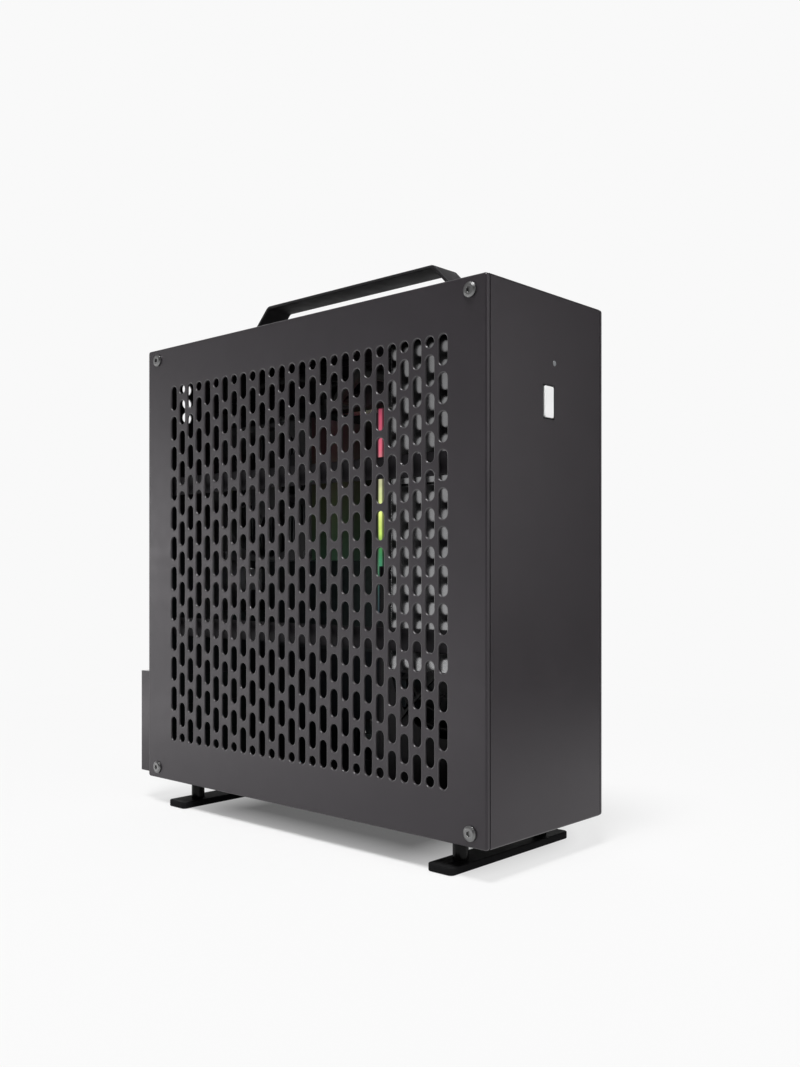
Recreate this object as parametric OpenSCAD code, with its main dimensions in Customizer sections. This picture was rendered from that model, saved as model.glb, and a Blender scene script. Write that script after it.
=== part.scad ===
/* [Case] */
// Width over both side panels
case_w = 108; // [106:1:124]
// Depth of the case, front face to rear face
case_d = 292; // [290:1:312]
// Height of the case without its feet and handle
case_h = 290; // [286:1:306]
// Thickness of the folded steel sheet
sheet_t = 1.2; // [1:0.1:1.4]
// Depth of the rim folded round each side panel
rim_d = 3; // [2.5:0.5:4]
// Width of the flange folded in along the shell's open edges
flange_w = 6; // [5:0.5:7]
// Length of the corner tabs that take the side panel screws
tab_l = 18; // [17:0.5:20]

/* [Vents] */
// Width of a vent slot
vent_w = 6; // [4:0.5:7]
// Length of a vent slot
vent_l = 16; // [12:1:17]
// Distance between two columns of slots
vent_col_pitch = 9; // [8:0.5:12]
// Distance between two slots of a column
vent_row_pitch = 20; // [19:1:26]
// Plain border in front of and behind the slots
vent_side_border = 26; // [22:1:40]
// Plain border above and below the slots
vent_end_border = 27; // [22:1:40]
// Diameter of the round holes that end the shorter columns
vent_end_d = 5.8; // [4:0.2:6.6]

/* [Panel screws] */
// Head diameter of a side panel screw
panel_head_d = 8; // [6:0.5:9]
// Head height of a side panel screw
panel_head_h = 1.5; // [1.2:0.1:2.2]
// Shank diameter of a side panel screw
panel_shank_d = 3; // [2.5:0.5:3.5]
// Shank length of a side panel screw
panel_shank_l = 5; // [4.5:0.1:5]
// Distance of the screws from the front and rear edges
panel_screw_y = 10.75; // [10:0.25:12]
// Distance of the screws from the top and bottom edges
panel_screw_z = 7.3; // [7:0.1:9]

/* [Handle] */
// Height of the handle above the case
handle_h = 27; // [24:1:40]
// Width of the handle strap
handle_w = 20; // [16:1:30]
// Thickness of the handle strap
handle_t = 2; // [1.5:0.25:3]
// Length of the flat grip
handle_grip_l = 145; // [110:1:160]
// Distance from each end of the handle to the case's front or rear
handle_inset = 25; // [10:1:40]
// Length of each handle foot on the case
handle_foot_l = 24; // [22:1:28]
// Bend radius of the handle strap
handle_r = 4; // [3:0.5:6]
// Distance between the two screws of a handle foot
handle_screw_pitch = 11; // [9:0.5:13]
// Shank diameter of the handle and foot bar screws
m4_d = 4; // [3:0.5:4]

/* [Feet] */
// Height of the foot bars and posts together
foot_h = 17; // [14:0.5:26]
// Thickness of a foot bar
foot_bar_t = 4.2; // [3.4:0.2:6]
// Width of a foot bar, front to back
foot_bar_w = 17.5; // [14:0.5:24]
// Distance from each foot bar's middle to the case's front or rear
foot_inset = 31.6; // [28:0.1:60]
// Distance of each post from the case's middle
foot_x = 36; // [25:1:42]
// Diameter of a foot post
foot_post_d = 8.6; // [7:0.2:12]

/* [Front] */
// Width of the power button
button_w = 10; // [8:0.5:14]
// Height of the power button
button_h = 18; // [12:0.5:22]
// Gap round the power button
button_gap = 0.3; // [0.2:0.05:0.6]
// Travel of the power button
button_travel = 1.5; // [1:0.1:2]
// How far the power button stands out of the front
button_proud = 0.6; // [0.3:0.1:1]
// Height of the power button's middle above the case bottom
button_z = 231; // [215:1:245]
// Diameter of the status light
led_d = 3; // [2:0.5:4]
// Height of the status light above the power button's middle
led_rise = 21.5; // [19:0.5:26]
// Distance of the status light to the right of the middle
led_x = 5.6; // [0:0.1:10]

/* [Rear] */
// How far the expansion slot clamp stands out behind the case
clamp_proud = 12; // [11:0.5:16]
// Distance of the lowest slot's middle from the case bottom
slot_z = 17; // [15:0.5:19]
// Distance between two expansion slots
slot_pitch = 20.32; // [20:0.02:20.6]
// Length of a slot cover
slot_cover_l = 79; // [60:1:82]
// Width of a slot cover
slot_cover_w = 18.4; // [17:0.1:19]
// Thickness of a slot cover
slot_cover_t = 0.9; // [0.7:0.1:1.2]
// Distance of the slot covers' folded ends from the case's left side
slot_side_gap = 7; // [6.5:0.5:10]
// Most expansion slots that the rear panel gets
slot_most = 3; // [1:1:3]
// Diameter of the three antenna holes
antenna_d = 8; // [6:0.5:9]
// Distance between two antenna holes
antenna_pitch = 10; // [9.5:0.5:12]

/* [Mainboard] */
// Length of each side of the square mainboard
board_w = 170; // [168:1:172]
// Thickness of the mainboard
board_t = 1.6; // [1.2:0.1:2]
// Height of the standoffs between tray and mainboard
standoff_h = 6.5; // [5:0.5:8]
// Distance of the mainboard's upper edge from the case top
board_top_gap = 34; // [33:0.5:38]
// Distance of the mainboard from the rear panel
board_rear_gap = 1.6; // [1.2:0.1:1.9]
// Space between the tray and the right side panel's seat
tray_gap = 5; // [5:0.5:6]
// Length of a memory stick
stick_l = 133.35; // [120:0.05:134]
// Height of the memory stick above its socket
stick_h = 27; // [20:1:30]
// Thickness of the memory stick with its heat spreader
stick_t = 7; // [5:0.5:7.6]
// Distance between the two memory sockets
stick_pitch = 9.4; // [8.8:0.1:12]
// Height of the light bar along the memory stick's edge
light_bar_h = 1; // [0.6:0.1:3]
// Width of the light bar
light_bar_w = 4; // [3:0.5:5]
// Length of each side of the processor cooler
cooler_w = 90; // [80:1:92]
// Height of the cooler's fins
fin_h = 28; // [20:1:34]
// Thickness of the cooler fan
cooler_fan_t = 15; // [12:1:20]

/* [Power supply] */
// Thickness of the power supply, across the case
supply_x = 63.5; // [60:0.5:68]
// Space between the power supply and the mainboard's tray, front to back
supply_rear_gap = 6; // [5:0.5:12]
// Height of the power supply
supply_z = 125; // [100:1:126]
// Wall thickness of the power supply's case
supply_wall = 1; // [0.8:0.1:1.4]
// Space between the front panel and the power supply
supply_front_gap = 9.8; // [9.5:0.1:11]
// Space below the power supply
supply_floor_gap = 10; // [9.5:0.5:12]
// Border round the opening over the power supply's fan
supply_fan_border = 8; // [6:0.5:14]

/* [Drives] */
// Length of a drive
drive_l = 100; // [90:0.5:100]
// Width of a drive
drive_w = 69.85; // [60:0.05:72]
// Thickness of a drive
drive_t = 7; // [5:0.5:9.5]
// Space between the side rails and the drives
drive_setback = 2; // [0.3:0.1:4]
// Height of each side rail
rail_w = 12; // [8:0.5:14]
// Height of the upper side rail's middle above the case bottom
rail_z = 197; // [150:1:220]
// Height of the lower side rail's middle above the case bottom
low_rail_z = 103; // [90:1:130]

/* [Hidden] */

// Running and fitting clearances
fit = 0.05;
slack = 0.2;
seat = 0.3;

// Faces of the case, measured from its middle and its underside
half_w = case_w / 2;
body_x = half_w - rim_d;
inner_x = body_x - sheet_t;
front_y = -case_d / 2;
rear_y = case_d / 2;
front_in = front_y + sheet_t;
rear_in = rear_y - sheet_t;
floor_in = sheet_t;
roof_in = case_h - sheet_t;
case_shift_y = (button_proud - clamp_proud) / 2;
fold_r = 1.2;
tab_end = rear_y - tab_l;
lug_l = 14;

// Holes for screws in sheet
panel_hole_d = panel_shank_d + 0.4;
m4_hole_d = m4_d + 0.4;
m3_d = 3;
m3_hole_d = m3_d + 2 * fit;

// Handle and foot places
handle_foot_y = case_d / 2 - handle_inset - handle_foot_l;
foot_y = case_d / 2 - foot_inset;
handle_screw_ys = [
  for (s = [-1, 1])
    for (k = [-0.5, 0.5])
      s * (handle_foot_y + handle_foot_l / 2 + k * handle_screw_pitch)
];
foot_places = [for (x = [-foot_x, foot_x]) for (y = [-foot_y, foot_y]) [x, y]];
nut_h = 3.2;
nut_d = 8.08;

// Fasteners that hold the rear panel and the tray to the shell
rear_screw_x = 30;
rear_screw_y = rear_in - lug_l / 2;
rear_screws = [for (x = [-rear_screw_x, rear_screw_x]) [x, rear_screw_y]];
countersunk_d = 5.6;
countersunk_h = 0.9;

// Mainboard and tray
tray_x1 = body_x - tray_gap;
tray_x0 = tray_x1 - sheet_t;
board_back = tray_x0 - standoff_h;
board_face = board_back - board_t;
board_rear = rear_in - board_rear_gap;
board_front = board_rear - board_w;
board_top = case_h - board_top_gap;
board_floor = board_top - board_w;
tray_front = board_front - 2.2;
tray_top = board_top + 6;
tray_ear_l = 26;
tray_flange = 12;
board_hole_d = 4;
board_holes = [
  [board_rear - 33.02, board_top - 6.35],
  [board_front + 4.9, board_top - 6.35],
  [board_rear - 10.16, board_floor + 6.17],
  [board_front + 4.9, board_floor + 6.17]
];
tray_screw_ys = [tray_front + tray_ear_l / 2, board_rear - 59];
tray_screw_x = tray_x0 - tray_flange / 2;
lead_hole_y = tray_front + 45;
lead_hole_z = 11;
lead_hole_w = 28;

// Rear connectors
io_l = 158.75;
io_w = 44.45;
io_z1 = board_top - 3.2;
io_z0 = io_z1 - io_l;
io_x1 = board_face + 1.9;
io_x0 = io_x1 - io_w;
io_lip = 1.6;
io_t = 0.8;
port_end = rear_y + 0.8;
port_start = board_rear - 17;
recess_d = 3.6;
jack_rise = 12;
hdmi_rise = 40;
usb_rises = [62, 82];
lan_rise = 104;
screen_rise = 128;
usb_zs = [for (rise = usb_rises) io_z0 + rise];
usb_w = 15;
usb_h = 16.2;
lan_z = io_z0 + lan_rise;
lan_w = 16.6;
lan_h = 29;
hdmi_z = io_z0 + hdmi_rise;
hdmi_w = 15.6;
hdmi_h = 7;
screen_z = io_z0 + screen_rise;
jack_z = io_z0 + jack_rise;
mouth_w = 12.6;
mouth_h = 5.2;
lan_mouth_h = 11.4;
jack_count = 3;
jack_pitch = 11;
jack_d = 9;
jack_hole_d = 3.6;

// Expansion slots
slot_room = io_z0 - io_lip - slot_cover_w / 2 - slot_z;
slot_count = min(slot_most, floor(slot_room / slot_pitch) + 1);
slot_x0 = -half_w + slot_side_gap;
slot_x1 = slot_x0 + slot_cover_l;
slot_window_h = 14.6;
slot_window_x0 = slot_x0 + slot_cover_t + 2.4;
slot_window_x1 = slot_x1 - 5;
slot_tab_end = rear_y + clamp_proud - 3;
slot_ledge_w = slot_count * slot_pitch + 3;
slot_ledge_z = slot_z - slot_pitch / 2 - 1.5;
slot_screw_y = rear_y + 4.6;
slot_screw_d = 3;
clamp_t = 1;
clamp_x0 = -half_w + 2.6;
clamp_z0 = 2.5;
clamp_z1 = slot_ledge_z + slot_ledge_w + 1.9;
clamp_ear = 12;
clamp_ear_x1 = slot_x0 + slot_cover_t + 8;
clamp_screw_x = (clamp_x0 + clamp_ear_x1) / 2;
clamp_screw_z = clamp_z1 + clamp_ear / 2 + 0.5;

// Power and card sockets of the mainboard
power_socket_l = 51.6;
power_socket_w = 8.6;
power_socket_h = 12;
power_socket_y = board_front + 40.8;
power_socket_z = board_top - 6.2;
power_plug_h = 14;
card_slot_l = 89;
card_slot_w = 7.5;
card_slot_h = 11;
card_slot_y = board_rear - 92;
card_slot_z = board_floor + 9;

// Memory
socket_l = 141;
socket_t = 7.2;
socket_h = 7.6;
memory_z = power_socket_z - power_socket_w / 2 - seat - socket_l / 2;
stick_y = board_front + 6.3;
stick_x1 = board_face - socket_h;
stick_x0 = stick_x1 - stick_h;
stick_pcb_t = 1.2;
light_bar_l = stick_l - 2;
light_bar_x0 = stick_x0 - light_bar_h;

// Processor and cooler
cpu_y = board_rear - 77;
cpu_z = board_top - 64;
cpu_w = 44;
cpu_h = 7.6;
fin_base_h = 4;
fin_t = 1;
fin_pitch = 3.25;
fins_x1 = board_face - cpu_h;
fins_x0 = fins_x1 - fin_base_h - fin_h;
fan_x0 = fins_x0 - cooler_fan_t;
fan_bore_d = cooler_w - 4;
fan_hole_pitch = cooler_w - 7.5;
fan_hole_d = 4.3;
fan_plate_t = 2.5;
hub_d = 34;
rotor_gap = 1.5;
rotor_rise = 1;
spindle_d = 3;
blade_count = 7;
blade_t = 1.4;
blade_tilt = 32;

// Power supply
supply_x1 = inner_x - seat;
supply_x0 = supply_x1 - supply_x;
supply_y0 = front_in + supply_front_gap;
supply_y1 = tray_front - supply_rear_gap;
supply_fan_d = min(supply_y1 - supply_y0, supply_z) - 2 * supply_fan_border;
supply_z0 = supply_floor_gap;
supply_z1 = supply_z0 + supply_z;
supply_fan_y = (supply_y0 + supply_y1) / 2;
supply_fan_z = supply_z1 - 6 - supply_fan_d / 2;
supply_fan_depth = 13;
supply_mid_x = (supply_x0 + supply_x1) / 2;
grille_wire_d = 1.6;
grille_ring_pitch = 9;
grille_ring_count = floor((supply_fan_d / 2 - 4) / grille_ring_pitch);
bracket_y1 = supply_y1 + sheet_t;
bracket_top = supply_z1 + 8;
bracket_border = 9;
supply_screw_inset = 5;
supply_screw_xs = [supply_x0 + supply_screw_inset, supply_x1 - supply_screw_inset];
supply_screw_zs = [supply_z0 + supply_screw_inset, supply_z1 - supply_screw_inset];
supply_inlet_z = supply_z0 + 22;
bracket_lug_x1 = tray_x0 - tray_flange - 1.5;
bracket_screws = [
  for (x = [supply_x0 + 8, bracket_lug_x1 - 8])
    [x, bracket_y1 + lug_l / 2]
];

// Mains inlets, seen from outside
inlet_w = 27;
inlet_h = 19.6;
inlet_d = 20;
inlet_face_w = 50;
inlet_face_h = 24;
inlet_face_t = 2.4;
inlet_wall = 1.4;
inlet_cavity_d = 15;
inlet_seat_d = 0.5;
inlet_pins = [[0, 2.6], [-6.8, -2.6], [6.8, -2.6]];
inlet_screw_pitch = 40;
rear_inlet_x = inner_x - 31.8;
rear_inlet_z = case_h - 17.2;
plug_play = 0.3;
plug_body_l = 22;

// Antenna holes at the upper rear
antenna_x = -inner_x + 27.2;
antenna_z = case_h - 22;

// Drives behind the left panel
rail_x1 = -inner_x + 1;
drive_x0 = rail_x1 + drive_setback;
drive_x1 = drive_x0 + drive_t;
drive_y0 = front_in + 1;
drive_y1 = drive_y0 + drive_w;
drive_top = roof_in - 1.3;
drive_gap = 1;
plate_x1 = drive_x1 + sheet_t;
plate_flange = 12;
plate_bottom = drive_top - 2 * drive_l - drive_gap - 2.5;
drive_floors = [drive_top - drive_l, drive_top - 2 * drive_l - drive_gap];
drive_hole_y = 61.72;
drive_hole_low = 9.4;
drive_hole_z = 76.6;
drive_screw_depth = 3.5;

// Button and switch
button_flange = 1.2;
button_flange_t = 1.2;
button_body_l = 6;
switch_wall = 1.6;
switch_w = button_w + 2 * (button_flange + switch_wall + button_gap);
switch_h = button_h + 2 * (button_flange + switch_wall + button_gap);
button_back = front_in + button_flange_t + seat;
switch_floor = button_back + button_travel + button_body_l;
switch_end = switch_floor + 3;
led_z = button_z + led_rise;

// Flush screws through the shell's top and bottom
tray_screws = [for (y = tray_screw_ys) [tray_screw_x, y]];
roof_screws = concat(rear_screws, tray_screws);
floor_screws = concat(rear_screws, tray_screws, bracket_screws);

// Routes of the inner leads, as points chosen by hand between the pieces they join
switch_lead_d = 3;
switch_lead_route = [
  [0, switch_end, button_z],
  [0, switch_end + 15, button_z],
  [8, switch_end + 37, roof_in - 25],
  [board_face - 12.7, board_front - 33, roof_in - 20.8],
  [board_face - 12.7, cpu_y - 36, roof_in - 20.8],
  [board_face - 16.7, cpu_y - 17, board_top + 6],
  [board_face - 16.7, cpu_y - 17, board_top - 6],
  [board_face, cpu_y - 17, board_top - 6]
];
power_cable_d = 7;
power_cable_y = supply_y0 - supply_front_gap / 2;
power_cable_z = supply_z1 - 27;
power_cable_route = [
  [board_face - power_socket_h - power_plug_h, power_socket_y, power_socket_z],
  [board_face - 38.7, power_socket_y, power_socket_z],
  [board_face - 48.7, board_front + 9, board_top + 6],
  [board_face - 48.7, board_front - 33, board_top - 6],
  [supply_mid_x - 12, supply_y0 + 39, supply_z1 + 55],
  [supply_mid_x + 2, supply_y0 + 13, supply_z1 + 25],
  [supply_mid_x + 2, power_cable_y, supply_z1 + 11],
  [supply_mid_x + 2, power_cable_y, power_cable_z],
  [supply_mid_x + 2, supply_y0, power_cable_z]
];
inlet_lead_d = 5.4;
inlet_lead_x = (tray_x1 + half_w - sheet_t) / 2;
inlet_lead_route = [
  [supply_mid_x, supply_y1 - inlet_seat_d + seat + plug_body_l, supply_inlet_z],
  [supply_mid_x, lead_hole_y - 8, supply_inlet_z],
  [tray_x0 - 8.8, lead_hole_y + 4, lead_hole_z + 17],
  [inlet_lead_x, lead_hole_y + 18, lead_hole_z + 13],
  [inlet_lead_x, lead_hole_y + 28, lead_hole_z + 49],
  [inlet_lead_x, lead_hole_y + 32, board_top - 6],
  [inlet_lead_x, lead_hole_y + 38, tray_top + 12],
  [tray_x0 - 14.8, lead_hole_y + 50, tray_top + 12],
  [rear_inlet_x, lead_hole_y + 76, rear_inlet_z],
  [rear_inlet_x, rear_y - inlet_d, rear_inlet_z]
];

// Small functions
function unit(v) = v / norm(v);
function bend(a, b, c, r, n) =
  let (
    u = unit(a - b),
    v = unit(c - b),
    half = acos(u * v) / 2,
    reach = r / tan(half),
    from = b + u * reach,
    to = b + v * reach,
    middle = b + unit(u + v) * r / sin(half)
  )
  [for (i = [0:n]) middle + r * unit((from - middle) * (1 - i / n) + (to - middle) * i / n)];
function rounded_route(p, r, n) = concat(
  [p[0]],
  [for (i = [1:len(p) - 2]) each bend(p[i - 1], p[i], p[i + 1], r, n)],
  [p[len(p) - 1]]
);
function route_tangents(p) = [
  for (i = [0:len(p) - 1])
    unit(p[min(i + 1, len(p) - 1)] - p[max(i - 1, 0)])
];
function carried_normals(t, m, i = 0) =
  i == len(t) ? [] :
  let (k = unit(m - (m * t[i]) * t[i]))
  concat([k], carried_normals(t, k, i + 1));

// Moves the case's own frame onto the part's frame
module in_case() {
  translate([0, case_shift_y, foot_h]) children();
}

// A box given by its lowest and highest corners
module block(a, b) {
  translate(a) cube(b - a);
}

// A plate in the plane of the side panels, from x on, for outlines drawn as [y, z]
module side_plate(x, t) {
  translate([x, 0, 0]) rotate([90, 0, 90]) linear_extrude(t) children();
}

// A plate in the plane of the rear panel, from y back, for outlines drawn as [x, z]
module rear_plate(y, t) {
  translate([0, y + t, 0]) rotate([90, 0, 0]) linear_extrude(t) children();
}

// A screw whose head stands up from z = 0 and whose shank goes down
module pan_screw(head_d, head_h, shank_d, shank_l) {
  difference() {
    union() {
      cylinder(d = head_d, h = head_h * 0.55, $fn = 48);
      translate([0, 0, head_h * 0.55])
        cylinder(d1 = head_d, d2 = head_d * 0.72, h = head_h * 0.45, $fn = 48);
      translate([0, 0, -shank_l]) cylinder(d = shank_d, h = shank_l, $fn = 32);
    }
    translate([0, 0, head_h * 0.35]) cylinder(d = head_d * 0.38, h = head_h, $fn = 6);
  }
}

// A flush screw whose flat head ends at z = 0
module flush_screw(head_d, head_h, shank_d, shank_l) {
  difference() {
    union() {
      translate([0, 0, -head_h]) cylinder(d1 = shank_d, d2 = head_d, h = head_h, $fn = 48);
      translate([0, 0, -shank_l]) cylinder(d = shank_d, h = shank_l, $fn = 32);
    }
    translate([0, 0, -head_h * 0.6]) cylinder(d = shank_d * 0.6, h = head_h, $fn = 6);
  }
}

// The hole that a flush screw lies in, with its rim at z = 0
module flush_hole(head_d, head_h, hole_d, depth) {
  translate([0, 0, -head_h]) cylinder(d1 = hole_d, d2 = head_d + 2 * fit, h = head_h, $fn = 48);
  translate([0, 0, -depth]) cylinder(d = hole_d, h = depth, $fn = 32);
  translate([0, 0, -0.01]) cylinder(d = head_d + 2 * fit, h = 1, $fn = 48);
}

// A hexagon nut standing on z = 0
module hex_nut(bore_d) {
  difference() {
    cylinder(d = nut_d, h = nut_h, $fn = 6);
    translate([0, 0, -1]) cylinder(d = bore_d + 2 * fit, h = nut_h + 2, $fn = 32);
  }
}

// A round lead swept along its route
module lead(p, d, r, sides, n) {
  path = rounded_route(p, r, n);
  tangents = route_tangents(path);
  normals = carried_normals(tangents, unit([0.21, 0.34, 0.92]));
  last = len(path) - 1;
  points = [
    for (i = [0:last])
      for (k = [0:sides - 1])
        let (a = k * 360 / sides, side = cross(tangents[i], normals[i]))
        path[i] + d / 2 * (cos(a) * normals[i] + sin(a) * side)
  ];
  walls = [
    for (i = [0:last - 1])
      for (k = [0:sides - 1])
        let (a = i * sides + k, b = i * sides + (k + 1) % sides)
        each [[a, a + sides, b + sides], [a, b + sides, b]]
  ];
  start = [[for (k = [0:sides - 1]) k]];
  end = [[for (k = [sides - 1:-1:0]) last * sides + k]];
  polyhedron(points = points, faces = concat(walls, start, end), convexity = 10);
}

// Side panels

module vent_slot() {
  square([vent_w, vent_l - vent_w], center = true);
  for (s = [-1, 1])
    translate([0, s * (vent_l - vent_w) / 2]) circle(d = vent_w, $fn = 32);
}

// Long slots in staggered columns, with a round hole at each end of the shorter ones
module vent_field() {
  side_columns = floor((case_d / 2 - vent_side_border - vent_w / 2) / vent_col_pitch);
  field_h = case_h - 2 * vent_end_border;
  rows = floor((field_h - vent_l) / vent_row_pitch) + 1;
  end_z = (rows - 1) * vent_row_pitch / 2 + (vent_l - vent_end_d) / 2;
  for (i = [-side_columns:side_columns]) {
    short = (side_columns - abs(i)) % 2;
    for (j = [0:rows - 1 - short])
      translate([i * vent_col_pitch, (j - (rows - 1 - short) / 2) * vent_row_pitch]) vent_slot();
    if (short == 1)
      for (s = [-1, 1])
        translate([i * vent_col_pitch, s * end_z]) circle(d = vent_end_d, $fn = 32);
  }
}

module panel_screw_places() {
  for (y = [-1, 1])
    for (z = [-1, 1])
      translate([y * (case_d / 2 - panel_screw_y), z * (case_h / 2 - panel_screw_z)]) children();
}

// The left side panel, a vented sheet with its edges folded in to a shallow rim
module side_panel() {
  translate([0, 0, case_h / 2]) {
    side_plate(-half_w, sheet_t)
      difference() {
        square([case_d, case_h], center = true);
        vent_field();
        panel_screw_places() circle(d = panel_hole_d, $fn = 32);
      }
    side_plate(-half_w + sheet_t - 0.01, rim_d - sheet_t + 0.01)
      difference() {
        square([case_d, case_h], center = true);
        square([case_d - 2 * sheet_t, case_h - 2 * sheet_t], center = true);
      }
  }
}

module side_panel_screws() {
  translate([-half_w, 0, case_h / 2])
    for (y = [-1, 1])
      for (z = [-1, 1])
        translate([0, y * (case_d / 2 - panel_screw_y), z * (case_h / 2 - panel_screw_z)])
          rotate([0, -90, 0])
            pan_screw(panel_head_d, panel_head_h, panel_shank_d, panel_shank_l);
}

module left_side_panel() {
  color("#3a393b") in_case() side_panel();
}

module right_side_panel() {
  color("#3a393b") in_case() mirror([1, 0, 0]) side_panel();
}

module left_panel_screws() {
  color("#8f8f90") in_case() side_panel_screws();
}

module right_panel_screws() {
  color("#8f8f90") in_case() mirror([1, 0, 0]) side_panel_screws();
}

// Shell and rear panel

// Holes in the corner tabs, along the whole width
module tab_holes() {
  for (y = [-1, 1])
    for (z = [panel_screw_z, case_h - panel_screw_z])
      translate([-half_w, y * (case_d / 2 - panel_screw_y), z])
        rotate([0, 90, 0]) cylinder(d = panel_shank_d + 2 * fit, h = case_w, $fn = 32);
}

// Outline of the shell's side, with the two folds rounded
module shell_outline() {
  difference() {
    translate([front_y, 0]) square([case_d - sheet_t, case_h]);
    for (z = [0, 1])
      translate([front_y, z * case_h]) mirror([0, z])
        difference() {
          translate([-1, -1]) square(fold_r + 1);
          translate([fold_r, fold_r]) circle(r = fold_r, $fn = 32);
        }
  }
}

module shell_wall_outline() {
  difference() {
    shell_outline();
    translate([front_in, floor_in]) square([case_d, case_h - 2 * sheet_t]);
  }
}

module shell_flange_outline() {
  difference() {
    shell_outline();
    translate([front_y + flange_w, flange_w]) square([case_d, case_h - 2 * flange_w]);
    translate([tab_end - seat, -1]) square([tab_l + 2, case_h + 2]);
  }
  intersection() {
    shell_outline();
    for (z = [0, case_h - tab_l])
      translate([front_y, z]) square(tab_l);
  }
}

module body_shell() {
  color("#434245")
    in_case()
      difference() {
        union() {
          side_plate(-body_x, 2 * body_x) shell_wall_outline();
          side_plate(-body_x, sheet_t) shell_flange_outline();
          side_plate(inner_x, sheet_t) shell_flange_outline();
        }
        tab_holes();
        block(
          [-button_w / 2 - button_gap, front_y - 1, button_z - button_h / 2 - button_gap],
          [button_w / 2 + button_gap, front_in + 1, button_z + button_h / 2 + button_gap]
        );
        translate([led_x, front_in + 1, led_z])
          rotate([90, 0, 0]) cylinder(d = led_d + 2 * fit, h = sheet_t + 2, $fn = 32);
        for (y = handle_screw_ys)
          translate([0, y, roof_in - 1]) cylinder(d = m4_hole_d, h = sheet_t + 2, $fn = 32);
        for (p = foot_places)
          translate([p[0], p[1], -1]) cylinder(d = m4_hole_d, h = sheet_t + 2, $fn = 32);
        shell_screw_holes(roof_screws, floor_screws);
      }
}

// Flush holes from the shell's outside at the places given
module shell_screw_holes(roof, floor) {
  depth = sheet_t + 1;
  for (p = roof)
    translate([p[0], p[1], case_h]) flush_hole(countersunk_d, countersunk_h, m3_hole_d, depth);
  for (p = floor)
    translate([p[0], p[1], 0]) mirror([0, 0, 1])
      flush_hole(countersunk_d, countersunk_h, m3_hole_d, depth);
}

module shell_screws() {
  shank_l = 2 * sheet_t + 1.6;
  color("#2b2b2d")
    in_case() {
      for (p = roof_screws)
        translate([p[0], p[1], case_h]) flush_screw(countersunk_d, countersunk_h, m3_d, shank_l);
      for (p = floor_screws)
        translate([p[0], p[1], 0]) mirror([0, 0, 1])
          flush_screw(countersunk_d, countersunk_h, m3_d, shank_l);
    }
}

module slot_windows() {
  for (i = [0:slot_count - 1])
    translate([slot_window_x0, slot_z + i * slot_pitch - slot_window_h / 2])
      square([slot_window_x1 - slot_window_x0, slot_window_h]);
}

// Narrow openings beside the ledge, where the slot covers' ends come out
module slot_tab_openings() {
  for (i = [0:slot_count - 1])
    translate([slot_x0 - slack, slot_z + i * slot_pitch - slot_cover_w / 2 - slack])
      square([slot_cover_t + 2 * slack, slot_cover_w + 2 * slack]);
}

module rear_panel() {
  color("#3d3c3f")
    in_case()
      difference() {
        union() {
          rear_plate(rear_in, sheet_t)
            difference() {
              translate([-body_x, 0]) square([2 * body_x, case_h]);
              slot_windows();
              slot_tab_openings();
              translate([io_x0 - slack, io_z0 - slack])
                square([io_w + 2 * slack, io_l + 2 * slack]);
              translate([rear_inlet_x - inlet_w / 2 - slack, rear_inlet_z - inlet_h / 2 - slack])
                square([inlet_w + 2 * slack, inlet_h + 2 * slack]);
              for (s = [-1, 1])
                translate([rear_inlet_x + s * inlet_screw_pitch / 2, rear_inlet_z])
                  circle(d = m3_hole_d, $fn = 32);
              for (i = [0:2])
                translate([antenna_x, antenna_z - i * antenna_pitch])
                  circle(d = antenna_d, $fn = 32);
              translate([clamp_screw_x, clamp_screw_z]) circle(d = m3_hole_d, $fn = 32);
            }
          for (x = [-body_x, inner_x]) {
            block([x, rear_y - flange_w, floor_in + slack], [x + sheet_t, rear_in + 0.01, roof_in - slack]);
            for (z = [floor_in + slack, case_h - tab_l])
              block([x, tab_end, z], [x + sheet_t, rear_in, z + tab_l - floor_in - slack]);
          }
          for (z = [floor_in, roof_in - sheet_t])
            block([-rear_screw_x - 8, rear_in - lug_l, z], [rear_screw_x + 8, rear_in + 0.01, z + sheet_t]);
        }
        tab_holes();
        for (p = rear_screws)
          translate([p[0], p[1], -1]) cylinder(d = m3_hole_d, h = case_h + 2, $fn = 32);
      }
}

// The strip on the rear panel that the slot covers' folded ends are screwed to
module slot_ledge() {
  ledge_x0 = slot_x0 + slot_cover_t;
  color("#3d3c3f")
    in_case()
      difference() {
        block([ledge_x0, rear_y, slot_ledge_z],
          [ledge_x0 + sheet_t, slot_tab_end, slot_ledge_z + slot_ledge_w]);
        for (i = [0:slot_count - 1])
          translate([ledge_x0 - 1, slot_screw_y, slot_z + i * slot_pitch])
            rotate([0, 90, 0]) cylinder(d = slot_screw_d + 2 * fit, h = sheet_t + 2, $fn = 32);
      }
}

// Two thin strips from front to rear behind the left side panel
module side_rails() {
  color("#1d1d1f")
    in_case()
      for (z = [low_rail_z, rail_z])
        block([-inner_x, front_in + slack, z - rail_w / 2], [rail_x1, rear_in - slack, z + rail_w / 2]);
}

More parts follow.
